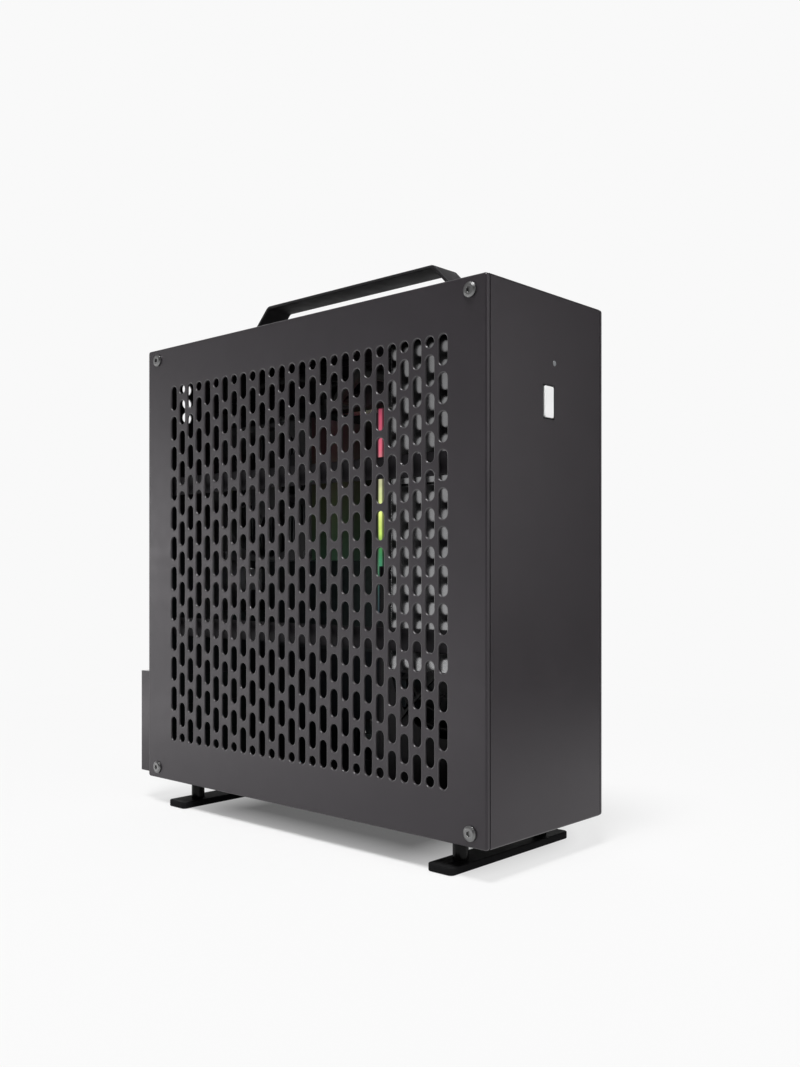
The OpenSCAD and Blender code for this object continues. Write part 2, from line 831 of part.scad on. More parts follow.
// The sheet that carries the mainboard, with two ears up to the roof and folded ends
module mainboard_tray() {
  color("#222224")
    in_case()
      difference() {
        union() {
          side_plate(tray_x0, sheet_t)
            difference() {
              union() {
                translate([tray_front, floor_in]) square([rear_in - 1 - tray_front, tray_top - floor_in]);
                for (y = tray_screw_ys)
                  translate([y - tray_ear_l / 2, floor_in]) square([tray_ear_l, roof_in - floor_in]);
              }
              translate([lead_hole_y, lead_hole_z]) square([lead_hole_w, lead_hole_w]);
              for (p = board_holes) translate(p) circle(d = m3_hole_d, $fn = 32);
            }
          for (y = tray_screw_ys)
            for (z = [floor_in, roof_in - sheet_t])
              block(
                [tray_x0 - tray_flange, y - tray_ear_l / 2, z],
                [tray_x0 + 0.01, y + tray_ear_l / 2, z + sheet_t]
              );
        }
        for (p = tray_screws)
          translate([p[0], p[1], -1]) cylinder(d = m3_hole_d, h = case_h + 2, $fn = 32);
      }
}

// Handle

// Outline of the bent strap, from the middle line of its feet, legs and grip
module handle_outline() {
  z0 = handle_t / 2;
  z1 = handle_h - handle_t / 2;
  middle_line = rounded_route([
    [-handle_foot_y - handle_foot_l, z0],
    [-handle_foot_y, z0],
    [-handle_grip_l / 2, z1],
    [handle_grip_l / 2, z1],
    [handle_foot_y, z0],
    [handle_foot_y + handle_foot_l, z0]
  ], handle_r, 8);
  along = route_tangents(middle_line);
  last = len(middle_line) - 1;
  polygon(concat(
    [for (i = [0:last]) middle_line[i] + handle_t / 2 * [-along[i][1], along[i][0]]],
    [for (i = [last:-1:0]) middle_line[i] - handle_t / 2 * [-along[i][1], along[i][0]]]
  ));
}

module handle() {
  color("#161617")
    in_case()
      translate([0, 0, case_h])
        difference() {
          side_plate(-handle_w / 2, handle_w) handle_outline();
          for (y = handle_screw_ys)
            translate([0, y, -1]) cylinder(d = m4_hole_d, h = handle_t + 2, $fn = 32);
        }
}

module handle_screws() {
  color("#2f2f31")
    in_case()
      for (y = handle_screw_ys)
        translate([0, y, case_h + handle_t])
          pan_screw(panel_head_d, 2.2, m4_d, handle_t + sheet_t + nut_h + 1);
}

module handle_nuts() {
  color("#9a9a9a")
    in_case()
      for (y = handle_screw_ys)
        translate([0, y, roof_in - nut_h]) hex_nut(m4_d);
}

// Feet

module foot_bar() {
  difference() {
    translate([-half_w, -foot_bar_w / 2, 0]) cube([case_w, foot_bar_w, foot_bar_t]);
    for (x = [-foot_x, foot_x])
      translate([x, 0, 0]) mirror([0, 0, 1]) flush_hole(m4_d * 2, 2.3, m4_hole_d, foot_bar_t + 1);
  }
}

module front_foot_bar() {
  color("#1b1b1c") translate([0, case_shift_y - foot_y, 0]) foot_bar();
}

module rear_foot_bar() {
  color("#1b1b1c") translate([0, case_shift_y + foot_y, 0]) foot_bar();
}

module foot_posts() {
  color("#121213")
    for (p = foot_places)
      translate([p[0], case_shift_y + p[1], foot_bar_t])
        difference() {
          cylinder(d = foot_post_d, h = foot_h - foot_bar_t, $fn = 48);
          translate([0, 0, -1]) cylinder(d = m4_hole_d, h = foot_h, $fn = 32);
        }
}

module foot_screws() {
  color("#2f2f31")
    for (p = foot_places)
      translate([p[0], case_shift_y + p[1], 0]) mirror([0, 0, 1])
        flush_screw(m4_d * 2, 2.3, m4_d, foot_h + sheet_t + nut_h + 0.6);
}

module foot_nuts() {
  color("#9a9a9a")
    in_case()
      for (p = foot_places)
        translate([p[0], p[1], floor_in]) hex_nut(m4_d);
}

// Front controls

// The button's cap, with a flange behind the front that keeps it in
module power_button() {
  color("white")
    in_case()
      translate([0, 0, button_z]) {
        block(
          [-button_w / 2, front_y - button_proud, -button_h / 2],
          [button_w / 2, button_back, button_h / 2]
        );
        block(
          [-button_w / 2 - button_flange, front_in + seat, -button_h / 2 - button_flange],
          [button_w / 2 + button_flange, button_back, button_h / 2 + button_flange]
        );
        translate([0, button_back - 0.01, 0]) rotate([-90, 0, 0])
          cylinder(d = button_w * 0.6, h = button_body_l - 1, $fn = 48);
      }
}

// The switch's housing, open to the front round the button's flange and stem
module power_switch() {
  color("#202022")
    in_case()
      translate([0, 0, button_z])
        difference() {
          block([-switch_w / 2, front_in, -switch_h / 2], [switch_w / 2, switch_end, switch_h / 2]);
          block(
            [-switch_w / 2 + switch_wall, front_in - 1, -switch_h / 2 + switch_wall],
            [switch_w / 2 - switch_wall, button_back + button_travel + seat, switch_h / 2 - switch_wall]
          );
          translate([0, front_in, 0]) rotate([-90, 0, 0])
            cylinder(d = button_w * 0.6 + 2 * button_gap, h = switch_floor - front_in, $fn = 48);
        }
}

module status_light() {
  color("#d8e4ea")
    in_case()
      translate([led_x, front_in + 5, led_z])
        rotate([90, 0, 0]) {
          cylinder(d = led_d, h = 5 + sheet_t, $fn = 32);
          cylinder(d = led_d + 1.2, h = 5, $fn = 32);
        }
}

module switch_lead() {
  color("#151515") in_case() lead(switch_lead_route, switch_lead_d, 5, 8, 4);
}

// Expansion slots

module slot_cover(i) {
  z0 = slot_z + i * slot_pitch - slot_cover_w / 2;
  notch_d = slot_screw_d + 0.6;
  color("#1f1f21")
    in_case()
      difference() {
        union() {
          block([slot_x0, rear_in - slot_cover_t, z0], [slot_x1, rear_in, z0 + slot_cover_w]);
          block(
            [slot_x0, rear_in - slot_cover_t, z0],
            [slot_x0 + slot_cover_t, slot_tab_end, z0 + slot_cover_w]
          );
        }
        translate([slot_x0 - 1, slot_screw_y, z0 + slot_cover_w / 2])
          rotate([0, 90, 0]) cylinder(d = notch_d, h = slot_cover_t + 2, $fn = 32);
      }
}

module slot_covers() {
  for (i = [0:slot_count - 1]) slot_cover(i);
}

module slot_screws() {
  color("#8f8f90")
    in_case()
      for (i = [0:slot_count - 1])
        translate([slot_x0, slot_screw_y, slot_z + i * slot_pitch])
          rotate([0, -90, 0]) pan_screw(6, 1.2, slot_screw_d, slot_cover_t + sheet_t + 1.5);
}

// A folded cap over the ends of the slot covers, with one ear for its screw
module slot_clamp_cover() {
  x1 = slot_x0 + slot_cover_t + sheet_t + 2;
  color("#3d3c3f")
    in_case()
      difference() {
        union() {
          difference() {
            block([clamp_x0, rear_y, clamp_z0], [x1, rear_y + clamp_proud, clamp_z1]);
            block(
              [clamp_x0 + clamp_t, rear_y - 1, clamp_z0 + clamp_t],
              [x1 + 1, rear_y + clamp_proud - clamp_t, clamp_z1 - clamp_t]
            );
          }
          block(
            [clamp_x0, rear_y, clamp_z1 - 0.01],
            [clamp_ear_x1, rear_y + clamp_t, clamp_z1 + clamp_ear]
          );
        }
        translate([clamp_screw_x, rear_y - 1, clamp_screw_z])
          rotate([-90, 0, 0]) cylinder(d = m3_hole_d, h = clamp_t + 2, $fn = 32);
      }
}

module clamp_screw() {
  color("#8f8f90")
    in_case()
      translate([clamp_screw_x, rear_y + clamp_t, clamp_screw_z])
        rotate([-90, 0, 0]) pan_screw(6, 2, m3_d, clamp_t + sheet_t + 2);
}

// Rear connectors

// A port's outline on the shield, standing on the mainboard's face
module port_outline(z, w, h, grow) {
  translate([board_face - h - grow, z - w / 2 - grow]) square([h + 2 * grow, w + 2 * grow]);
}

module port_outlines(grow) {
  for (z = concat(usb_zs, [screen_z])) port_outline(z, usb_w, usb_h, grow);
  port_outline(lan_z, lan_w, lan_h, grow);
  port_outline(hdmi_z, hdmi_w, hdmi_h, grow);
}

// A mouth of a port, its middle at height x above the mainboard
module port_mouth(x, z, h) {
  translate([board_face - x, z]) square([h, mouth_w], center = true);
}

module jack_places() {
  for (i = [0:jack_count - 1])
    translate([board_face - jack_pitch * (i + 0.5), jack_z]) children();
}

module io_shield() {
  color("#b9babc")
    in_case()
      difference() {
        union() {
          rear_plate(rear_in - 0.01, io_t)
            translate([io_x0, io_z0]) square([io_w, io_l]);
          rear_plate(rear_in - io_t, io_t)
            translate([io_x0 - io_lip, io_z0 - io_lip]) square([io_w + 2 * io_lip, io_l + 2 * io_lip]);
        }
        rear_plate(rear_in - 2, 4) {
          port_outlines(slack);
          jack_places() circle(d = jack_d + 2 * slack, $fn = 48);
        }
      }
}

// Metal shells of the ports, each with its shallow mouths
module rear_ports() {
  color("#a9abae")
    in_case()
      difference() {
        rear_plate(port_start, port_end - port_start) port_outlines(0);
        rear_plate(port_end - recess_d, recess_d + 1) {
          for (z = concat(usb_zs, [screen_z]))
            for (k = [0.27, 0.73]) port_mouth(k * usb_h, z, mouth_h);
          port_mouth(0.745 * lan_h, lan_z, lan_mouth_h);
          for (k = [0.15, 0.4]) port_mouth(k * lan_h, lan_z, mouth_h);
          port_mouth(hdmi_h / 2, hdmi_z, mouth_h);
        }
      }
}

module audio_jacks() {
  color("#26282b")
    in_case() {
      difference() {
        union() {
          block(
            [board_face - jack_count * jack_pitch, port_start, jack_z - jack_pitch / 2],
            [board_face, rear_in - io_t - slack, jack_z + jack_pitch / 2]
          );
          rear_plate(rear_in - io_t - slack - 0.01, port_end - rear_in + io_t + slack)
            jack_places() circle(d = jack_d, $fn = 48);
        }
        rear_plate(port_end - 12, 13) jack_places() circle(d = jack_hole_d, $fn = 32);
      }
    }
}

// Mainboard and what stands on it

module mainboard() {
  color("#141516")
    in_case()
      side_plate(board_face, board_t)
        difference() {
          translate([board_front, board_floor]) square([board_w, board_w]);
          for (p = board_holes) translate(p) circle(d = board_hole_d, $fn = 32);
        }
}

module board_standoffs() {
  color("#b58a3f")
    in_case()
      for (p = board_holes)
        translate([board_back, p[0], p[1]]) rotate([0, 90, 0])
          difference() {
            union() {
              cylinder(d = 6, h = standoff_h, $fn = 48);
              translate([0, 0, standoff_h - 0.01])
                cylinder(d = m3_d, h = sheet_t + 0.6, $fn = 32);
            }
            translate([0, 0, -1]) cylinder(d = m3_hole_d, h = standoff_h - 1, $fn = 32);
          }
}

module board_screws() {
  color("#9a9a9a")
    in_case()
      for (p = board_holes)
        translate([board_face, p[0], p[1]]) rotate([0, -90, 0])
          pan_screw(6.2, 2, m3_d, board_t + standoff_h - 2.6);
}

module memory_sockets() {
  color("#101011")
    in_case()
      for (k = [0, 1]) {
        y = stick_y + k * stick_pitch;
        difference() {
          block(
            [stick_x1, y - socket_t / 2, memory_z - socket_l / 2],
            [board_face, y + socket_t / 2, memory_z + socket_l / 2]
          );
          block(
            [stick_x1 - 1, y - stick_pcb_t / 2 - fit, memory_z - stick_l / 2 - slack],
            [board_face - 2, y + stick_pcb_t / 2 + fit, memory_z + stick_l / 2 + slack]
          );
        }
      }
}

// The memory stick: its board's edge in the front socket and its heat spreader above
module memory_stick() {
  y = stick_y;
  color("#1c1c1e")
    in_case() {
      block(
        [stick_x1 - 1, y - stick_pcb_t / 2, memory_z - stick_l / 2],
        [board_face - 2 - seat, y + stick_pcb_t / 2, memory_z + stick_l / 2]
      );
      difference() {
        block(
          [stick_x0, y - stick_t / 2, memory_z - stick_l / 2],
          [stick_x1 - seat, y + stick_t / 2, memory_z + stick_l / 2]
        );
        for (s = [-1, 1])
          for (q = [-2:2])
            translate([stick_x0 + stick_h / 2, y + s * stick_t / 2, memory_z + q * 24])
              cube([stick_h - 9, 1.2, 14], center = true);
      }
    }
}

module memory_light_bar() {
  color("#dfe6b0")
    in_case()
      block(
        [light_bar_x0, stick_y - light_bar_w / 2, memory_z - light_bar_l / 2],
        [stick_x0, stick_y + light_bar_w / 2, memory_z + light_bar_l / 2]
      );
}

module card_slot() {
  color("#101011")
    in_case()
      difference() {
        block(
          [board_face - card_slot_h, card_slot_y - card_slot_l / 2, card_slot_z - card_slot_w / 2],
          [board_face, card_slot_y + card_slot_l / 2, card_slot_z + card_slot_w / 2]
        );
        block(
          [board_face - card_slot_h - 1, card_slot_y - card_slot_l / 2 + 2, card_slot_z - 0.9],
          [board_face - 3, card_slot_y + card_slot_l / 2 - 2, card_slot_z + 0.9]
        );
      }
}

module board_power_socket() {
  color("#e4e2da")
    in_case()
      translate([board_face - power_socket_h, power_socket_y, power_socket_z])
        translate([0, -power_socket_l / 2, -power_socket_w / 2])
          cube([power_socket_h, power_socket_l, power_socket_w]);
}

module board_power_plug() {
  x1 = board_face - power_socket_h;
  color("#1a1a1b")
    in_case()
      block(
        [x1 - power_plug_h, power_socket_y - power_socket_l / 2, power_socket_z - power_socket_w / 2],
        [x1, power_socket_y + power_socket_l / 2, power_socket_z + power_socket_w / 2]
      );
}

module board_power_cable() {
  color("#151515") in_case() lead(power_cable_route, power_cable_d, 4, 10, 4);
}

// Processor cooler

module processor_socket() {
  color("#8c8f92")
    in_case()
      translate([fins_x1, cpu_y - cpu_w / 2, cpu_z - cpu_w / 2])
        cube([board_face - fins_x1, cpu_w, cpu_w]);
}

module cooler_fins() {
  count = floor((cooler_w - fin_t) / fin_pitch);
  first = cpu_y - (count - 1) * fin_pitch / 2 - (fin_pitch - fin_t) / 2;
  color("#5b5d60")
    in_case()
      difference() {
        translate([fins_x0, cpu_y - cooler_w / 2, cpu_z - cooler_w / 2])
          cube([fins_x1 - fins_x0, cooler_w, cooler_w]);
        for (i = [0:count - 1])
          translate([fins_x0 - 1, first + i * fin_pitch, cpu_z - cooler_w])
            cube([fin_h + 1, fin_pitch - fin_t, 2 * cooler_w]);
      }
}

// A fan frame lying on z = 0, with four struts to the plate that carries the rotor
module fan_frame(size, bore_d, t, plate_t) {
  difference() {
    translate([-size / 2, -size / 2, 0]) cube([size, size, t]);
    translate([0, 0, -1]) cylinder(d = bore_d, h = t + 2, $fn = 96);
    for (x = [-1, 1])
      for (y = [-1, 1])
        translate([x * fan_hole_pitch / 2, y * fan_hole_pitch / 2, -1])
          cylinder(d = fan_hole_d, h = t + 2, $fn = 32);
  }
  difference() {
    union() {
      cylinder(d = hub_d, h = plate_t, $fn = 64);
      for (a = [0, 90])
        rotate(a) translate([-bore_d / 2 - 1, -2, 0]) cube([bore_d + 2, 4, plate_t]);
    }
    translate([0, 0, -1]) cylinder(d = spindle_d + 2 * fit, h = plate_t + 2, $fn = 32);
  }
}

// A fan rotor with its spindle pointing down and its blades round the hub
module fan_rotor(tip_d, hub, z0, z1, spindle_l) {
  blade_h = (z1 - z0) * 0.86;
  chord = blade_h / sin(90 - blade_tilt) * 0.92;
  translate([0, 0, z0]) cylinder(d = hub, h = z1 - z0, $fn = 64);
  translate([0, 0, z0 - spindle_l]) cylinder(d = spindle_d, h = spindle_l + 1, $fn = 32);
  intersection() {
    for (i = [0:blade_count - 1])
      rotate(i * 360 / blade_count)
        translate([0, 0, (z0 + z1) / 2]) rotate([90 - blade_tilt, 0, 0])
          translate([0, -chord / 2, -blade_t / 2]) cube([tip_d / 2 + 4, chord, blade_t]);
    translate([0, 0, z0]) cylinder(d = tip_d, h = z1 - z0, $fn = 96);
  }
}

// The fan's plate faces the fins, and its rotor looks to the left
module cooler_fan_frame() {
  color("#1a1a1b")
    in_case()
      translate([fins_x0, cpu_y, cpu_z]) rotate([0, -90, 0])
        fan_frame(cooler_w, fan_bore_d, cooler_fan_t, fan_plate_t);
}

module cooler_fan_rotor() {
  low = fan_plate_t + rotor_rise;
  color("#262628")
    in_case()
      translate([fins_x0, cpu_y, cpu_z]) rotate([0, -90, 0])
        fan_rotor(fan_bore_d - 2 * rotor_gap, hub_d - 2, low, cooler_fan_t - 0.6, low - 0.4);
}

module cooler_fan_screws() {
  color("#2b2b2d")
    in_case()
      for (y = [-1, 1])
        for (z = [-1, 1])
          translate([fan_x0, cpu_y + y * fan_hole_pitch / 2, cpu_z + z * fan_hole_pitch / 2])
            rotate([0, -90, 0]) pan_screw(6, 1.6, m3_d, cooler_fan_t - fit);
}

// Power supply

module supply_screw_places() {
  for (x = supply_screw_xs)
    for (z = supply_screw_zs)
      translate([x, 0, z]) children();
}

// The power supply's steel case, open over its fan and at its inlet and cables
module supply_case() {
  w = supply_wall;
  color("#232325")
    in_case()
      difference() {
        block([supply_x0, supply_y0, supply_z0], [supply_x1, supply_y1, supply_z1]);
        block(
          [supply_x0 + w, supply_y0 + w, supply_z0 + w],
          [supply_x1 - w, supply_y1 - w, supply_z1 - w]
        );
        translate([supply_x0 - 1, supply_fan_y, supply_fan_z])
          rotate([0, 90, 0]) cylinder(d = supply_fan_d, h = w + 2, $fn = 96);
        block(
          [supply_mid_x - inlet_w / 2 - slack, supply_y1 - w - 1, supply_inlet_z - inlet_h / 2 - slack],
          [supply_mid_x + inlet_w / 2 + slack, supply_y1 + 1, supply_inlet_z + inlet_h / 2 + slack]
        );
        for (i = [0:5])
          for (k = [0:2])
            translate([supply_mid_x + (k - 1) * 16, supply_y1, supply_inlet_z + 28 + i * 11])
              cube([12, 2 * w + 2, 6], center = true);
        translate([0, supply_y1 - w - 1, 0])
          supply_screw_places() rotate([-90, 0, 0]) cylinder(d = m3_hole_d, h = w + 2, $fn = 32);
      }
}

// The closed inner works, with the fan's seat and spindle bearing
module supply_core() {
  w = supply_wall + seat;
  x0 = supply_x0 + supply_wall + supply_fan_depth + 3;
  color("#2a2a2c")
    in_case()
      difference() {
        union() {
          block(
            [x0, supply_y0 + supply_wall, supply_z0 + supply_wall + 34],
            [supply_x1 - w, supply_y1 - 12, supply_z1 - supply_wall]
          );
          translate([x0 - 2, supply_fan_y, supply_fan_z])
            rotate([0, 90, 0]) cylinder(d = hub_d, h = 3, $fn = 64);
        }
        translate([x0 - 3, supply_fan_y, supply_fan_z])
          rotate([0, 90, 0]) cylinder(d = spindle_d + 2 * fit, h = 8, $fn = 32);
      }
}

module supply_fan_grille() {
  color("#9b9b9d")
    in_case()
      translate([supply_x0 - grille_wire_d / 2, supply_fan_y, supply_fan_z]) rotate([0, 90, 0]) {
        for (i = [1:grille_ring_count])
          rotate_extrude($fn = 64)
            translate([i * grille_ring_pitch, 0]) circle(d = grille_wire_d, $fn = 16);
        cylinder(d = 10, h = grille_wire_d, center = true, $fn = 32);
        for (a = [0:3])
          rotate(a * 90 + 45)
            translate([4, -grille_wire_d / 2, -grille_wire_d / 2])
              cube([supply_fan_d / 2 + 1, grille_wire_d, grille_wire_d]);
      }
}

module supply_fan_rotor() {
  x0 = supply_x0 + supply_wall + supply_fan_depth + 1;
  color("#1a1a1b")
    in_case()
      translate([x0, supply_fan_y, supply_fan_z]) rotate([0, -90, 0])
        fan_rotor(supply_fan_d - 6, hub_d, rotor_rise, supply_fan_depth - 1, 4);
}

// The plate that holds the power supply by its rear face, folded along the floor
module supply_bracket() {
  b = bracket_border;
  color("#2d2d2f")
    in_case()
      difference() {
        union() {
          block([supply_x0, supply_y1, floor_in], [supply_x1, bracket_y1, bracket_top]);
          block(
            [supply_x0, supply_y1, floor_in],
            [bracket_lug_x1, bracket_y1 + lug_l, floor_in + sheet_t]
          );
        }
        block(
          [supply_x0 + b, supply_y1 - 1, supply_z0 + 8],
          [supply_x1 - b, bracket_y1 + 1, supply_z1 - b]
        );
        translate([0, supply_y1 - 1, 0])
          supply_screw_places() rotate([-90, 0, 0]) cylinder(d = m3_hole_d, h = sheet_t + 2, $fn = 32);
        for (p = bracket_screws)
          translate([p[0], p[1], 0]) cylinder(d = m3_hole_d, h = 2 * sheet_t + 1, $fn = 32);
      }
}

module supply_screws() {
  color("#9a9a9a")
    in_case()
      translate([0, bracket_y1, 0])
        supply_screw_places() rotate([-90, 0, 0]) pan_screw(6, 1.8, m3_d, sheet_t + 5);
}

// A mains inlet that faces back from z = 0, with its cavity and three pins
module mains_inlet() {
  difference() {
    union() {
      translate([0, 0, inlet_face_t / 2])
        cube([inlet_face_w, inlet_face_h, inlet_face_t], center = true);
      translate([0, 0, -inlet_d / 2]) cube([inlet_w, inlet_h, inlet_d + 0.01], center = true);
    }
    translate([0, 0, inlet_face_t + 1 - (inlet_cavity_d + 1) / 2])
      cube([inlet_w - 2 * inlet_wall, inlet_h - 2 * inlet_wall, inlet_cavity_d + 1], center = true);
    for (s = [-1, 1])
      translate([s * inlet_screw_pitch / 2, 0, -1])
        cylinder(d = m3_hole_d, h = inlet_face_t + 2, $fn = 32);
  }
  for (p = inlet_pins)
    translate([p[0], p[1], inlet_face_t - inlet_cavity_d + 4])
      cube([2, 4, 10], center = true);
}

module supply_inlet() {
  color("#151516")
    in_case()
      translate([supply_mid_x, supply_y1 - inlet_seat_d, supply_inlet_z]) rotate([-90, 0, 0])
        difference() {
          translate([0, 0, -inlet_d / 2]) cube([inlet_w, inlet_h, inlet_d], center = true);
          translate([0, 0, -inlet_cavity_d / 2 + 0.5])
            cube([inlet_w - 2 * inlet_wall, inlet_h - 2 * inlet_wall, inlet_cavity_d + 1], center = true);
        }
}

// The inner lead's plug, its nose in the power supply's inlet
module supply_plug() {
  nose_w = inlet_w - 2 * inlet_wall - 2 * plug_play;
  nose_h = inlet_h - 2 * inlet_wall - 2 * plug_play;
  color("#18181a")
    in_case()
      translate([supply_mid_x, supply_y1 - inlet_seat_d, supply_inlet_z]) rotate([-90, 0, 0]) {
        translate([0, 0, -inlet_cavity_d + 1 + seat])
          translate([-nose_w / 2, -nose_h / 2, 0]) cube([nose_w, nose_h, inlet_cavity_d]);
        translate([-inlet_w / 2, -inlet_h / 2, seat]) cube([inlet_w, inlet_h, plug_body_l]);
      }
}

module inlet_lead() {
  color("#151515") in_case() lead(inlet_lead_route, inlet_lead_d, 8, 10, 5);
}

module rear_inlet() {
  color("#151516")
    in_case()
      translate([rear_inlet_x, rear_y, rear_inlet_z]) rotate([-90, 0, 0]) mains_inlet();
}

module inlet_screws() {
  color("#8f8f90")
    in_case()
      for (s = [-1, 1])
        translate([rear_inlet_x + s * inlet_screw_pitch / 2, rear_y + inlet_face_t, rear_inlet_z])
          rotate([-90, 0, 0]) pan_screw(6, 2, m3_d, inlet_face_t + sheet_t + 2);
}

// Drives

module drive_places() {
  middle = (drive_y0 + drive_y1) / 2;
  for (z = drive_floors)
    for (y = [-1, 1])
      for (k = [0, 1])
        translate([drive_x1, middle + y * drive_hole_y / 2, z + drive_hole_low + k * drive_hole_z])
          rotate([0, 90, 0]) children();
}

// The plate behind both drives, folded along the front and the roof
module drive_plate() {
  color("#1d1d1f")
    in_case()
      difference() {
        union() {
          block([drive_x1, drive_y0, plate_bottom], [plate_x1, drive_y1 + 3, roof_in]);
          block(
            [drive_x1, front_in, plate_bottom],
            [plate_x1 + plate_flange, front_in + sheet_t, roof_in]
          );
          block(
            [drive_x1, front_in, roof_in - sheet_t],
            [plate_x1 + plate_flange, drive_y1 + 3, roof_in]
          );
        }
        drive_places() translate([0, 0, -1]) cylinder(d = m3_hole_d, h = sheet_t + 2, $fn = 32);
      }
}

module drives() {
  color("#8d8f91")
    in_case()
      difference() {
        for (z = drive_floors)
          block([drive_x0, drive_y0, z], [drive_x1, drive_y1, z + drive_l]);
        drive_places() translate([0, 0, -drive_screw_depth])
          cylinder(d = m3_hole_d, h = drive_screw_depth + 1, $fn = 32);
      }
}

module drive_screws() {
  color("#9a9a9a")
    in_case()
      drive_places()
        translate([0, 0, sheet_t]) pan_screw(5.4, 1.6, m3_d, sheet_t + drive_screw_depth - 0.5);
}

left_side_panel();
right_side_panel();
left_panel_screws();
right_panel_screws();
body_shell();
shell_screws();
rear_panel();
side_rails();
mainboard_tray();
handle();
handle_screws();
handle_nuts();
front_foot_bar();
rear_foot_bar();
foot_posts();
foot_screws();
foot_nuts();
power_button();
power_switch();
status_light();
switch_lead();
slot_covers();
slot_ledge();
slot_screws();
slot_clamp_cover();
clamp_screw();
io_shield();
rear_ports();
audio_jacks();
mainboard();
board_standoffs();
board_screws();
memory_sockets();
memory_stick();
memory_light_bar();
card_slot();
board_power_socket();
board_power_plug();
board_power_cable();
processor_socket();
cooler_fins();
cooler_fan_frame();
cooler_fan_rotor();
cooler_fan_screws();
supply_case();
supply_core();
supply_fan_grille();
supply_fan_rotor();
supply_bracket();
supply_screws();
supply_inlet();
supply_plug();
inlet_lead();
rear_inlet();
inlet_screws();
drive_plate();
drives();
drive_screws();
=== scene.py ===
import math

import bpy
import numpy as np
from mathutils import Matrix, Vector
from mathutils.geometry import delaunay_2d_cdt


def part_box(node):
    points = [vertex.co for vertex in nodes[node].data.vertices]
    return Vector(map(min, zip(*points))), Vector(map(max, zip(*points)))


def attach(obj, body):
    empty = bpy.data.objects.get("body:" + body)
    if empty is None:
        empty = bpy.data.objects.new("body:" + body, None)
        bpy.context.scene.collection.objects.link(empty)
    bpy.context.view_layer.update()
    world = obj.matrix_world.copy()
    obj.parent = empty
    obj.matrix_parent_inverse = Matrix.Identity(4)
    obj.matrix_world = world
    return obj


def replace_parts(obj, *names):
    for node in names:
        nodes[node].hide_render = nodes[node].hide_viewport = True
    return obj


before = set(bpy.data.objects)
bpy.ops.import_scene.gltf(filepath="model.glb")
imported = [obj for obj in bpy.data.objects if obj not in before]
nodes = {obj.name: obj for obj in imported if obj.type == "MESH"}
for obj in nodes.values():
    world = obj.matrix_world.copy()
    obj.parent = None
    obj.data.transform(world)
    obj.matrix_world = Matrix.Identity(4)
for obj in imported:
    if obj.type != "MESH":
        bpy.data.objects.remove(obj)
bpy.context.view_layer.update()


# Main sizes as in the CAD model. Shapes are made in millimetres, and the scene is in metres

MM = 0.001
SHIFT_Y = -5.7
FOOT_H = 17.0
CASE_W, CASE_D, CASE_H = 108.0, 292.0, 290.0
FRONT_Y = SHIFT_Y - CASE_D / 2
MID_Z = FOOT_H + CASE_H / 2
TOP_Z = FOOT_H + CASE_H


# Camera: level, at the photograph's angle

PHOTO_H = 1067
FOCAL_PX, SHIFT_PX = 1061.05, 36.8
SENSOR = 36
CAMERA_PLACE = (-0.4746, -0.4768, 0.1576)
CAMERA_TURN = -47.61

cam_data = bpy.data.cameras.new("view")
cam = bpy.data.objects.new("view", cam_data)
bpy.context.scene.collection.objects.link(cam)
cam.location = CAMERA_PLACE
cam.rotation_euler = (math.radians(90), 0, math.radians(CAMERA_TURN))
cam_data.sensor_width = SENSOR
cam_data.lens = FOCAL_PX / PHOTO_H * SENSOR
cam_data.shift_y = SHIFT_PX / PHOTO_H
cam_data.clip_start = 0.01
cam_data.clip_end = 40
bpy.context.scene.camera = cam
bpy.context.scene.view_settings.view_transform = "Standard"


# Node helpers. Those that make a value or a shader return the socket that carries it

def new_material(name):
    """An empty node tree and its output. The frame's plain material of that name is renamed first."""
    plain = bpy.data.materials.get(name)
    if plain:
        plain.name = name + "_plain"
    material = bpy.data.materials.new(name)
    material.use_nodes = True
    tree = material.node_tree
    tree.nodes.clear()
    return tree, tree.nodes.new("ShaderNodeOutputMaterial")


def principled(name):
    tree, out = new_material(name)
    bsdf = tree.nodes.new("ShaderNodeBsdfPrincipled")
    tree.links.new(bsdf.outputs[0], out.inputs[0])
    return tree, bsdf


def coords(tree, stretch=(1, 1, 1)):
    place = tree.nodes.new("ShaderNodeTexCoord")
    mapping = tree.nodes.new("ShaderNodeMapping")
    mapping.inputs["Scale"].default_value = stretch
    tree.links.new(place.outputs["Object"], mapping.inputs[0])
    return mapping.outputs[0]


def noise(tree, vector, scale, detail=3.0, rough=0.5):
    node = tree.nodes.new("ShaderNodeTexNoise")
    node.inputs["Scale"].default_value = scale
    node.inputs["Detail"].default_value = detail
    node.inputs["Roughness"].default_value = rough
    tree.links.new(vector, node.inputs["Vector"])
    return node.outputs["Fac"]


def remap(tree, value, lo, hi, start=0.3, end=0.7):
    """lo where the value is at start or below, hi where it is at end or above."""
    node = tree.nodes.new("ShaderNodeMapRange")
    node.inputs["From Min"].default_value = start
    node.inputs["From Max"].default_value = end
    node.inputs["To Min"].default_value = lo
    node.inputs["To Max"].default_value = hi
    tree.links.new(value, node.inputs["Value"])
    return node.outputs["Result"]


def two_tone(tree, factor, first, second):
    mix = tree.nodes.new("ShaderNodeMix")
    mix.data_type = "RGBA"
    tree.links.new(factor, mix.inputs["Factor"])
    mix.inputs["A"].default_value = (*first, 1)
    mix.inputs["B"].default_value = (*second, 1)
    return mix.outputs["Result"]


def combined(tree, operation, *values):
    """One operation on values that are sockets or numbers."""
    node = tree.nodes.new("ShaderNodeMath")
    node.operation = operation
    for value, socket in zip(values, node.inputs):
        if isinstance(value, (int, float)):
            socket.default_value = value
        else:
            tree.links.new(value, socket)
    return node.outputs[0]


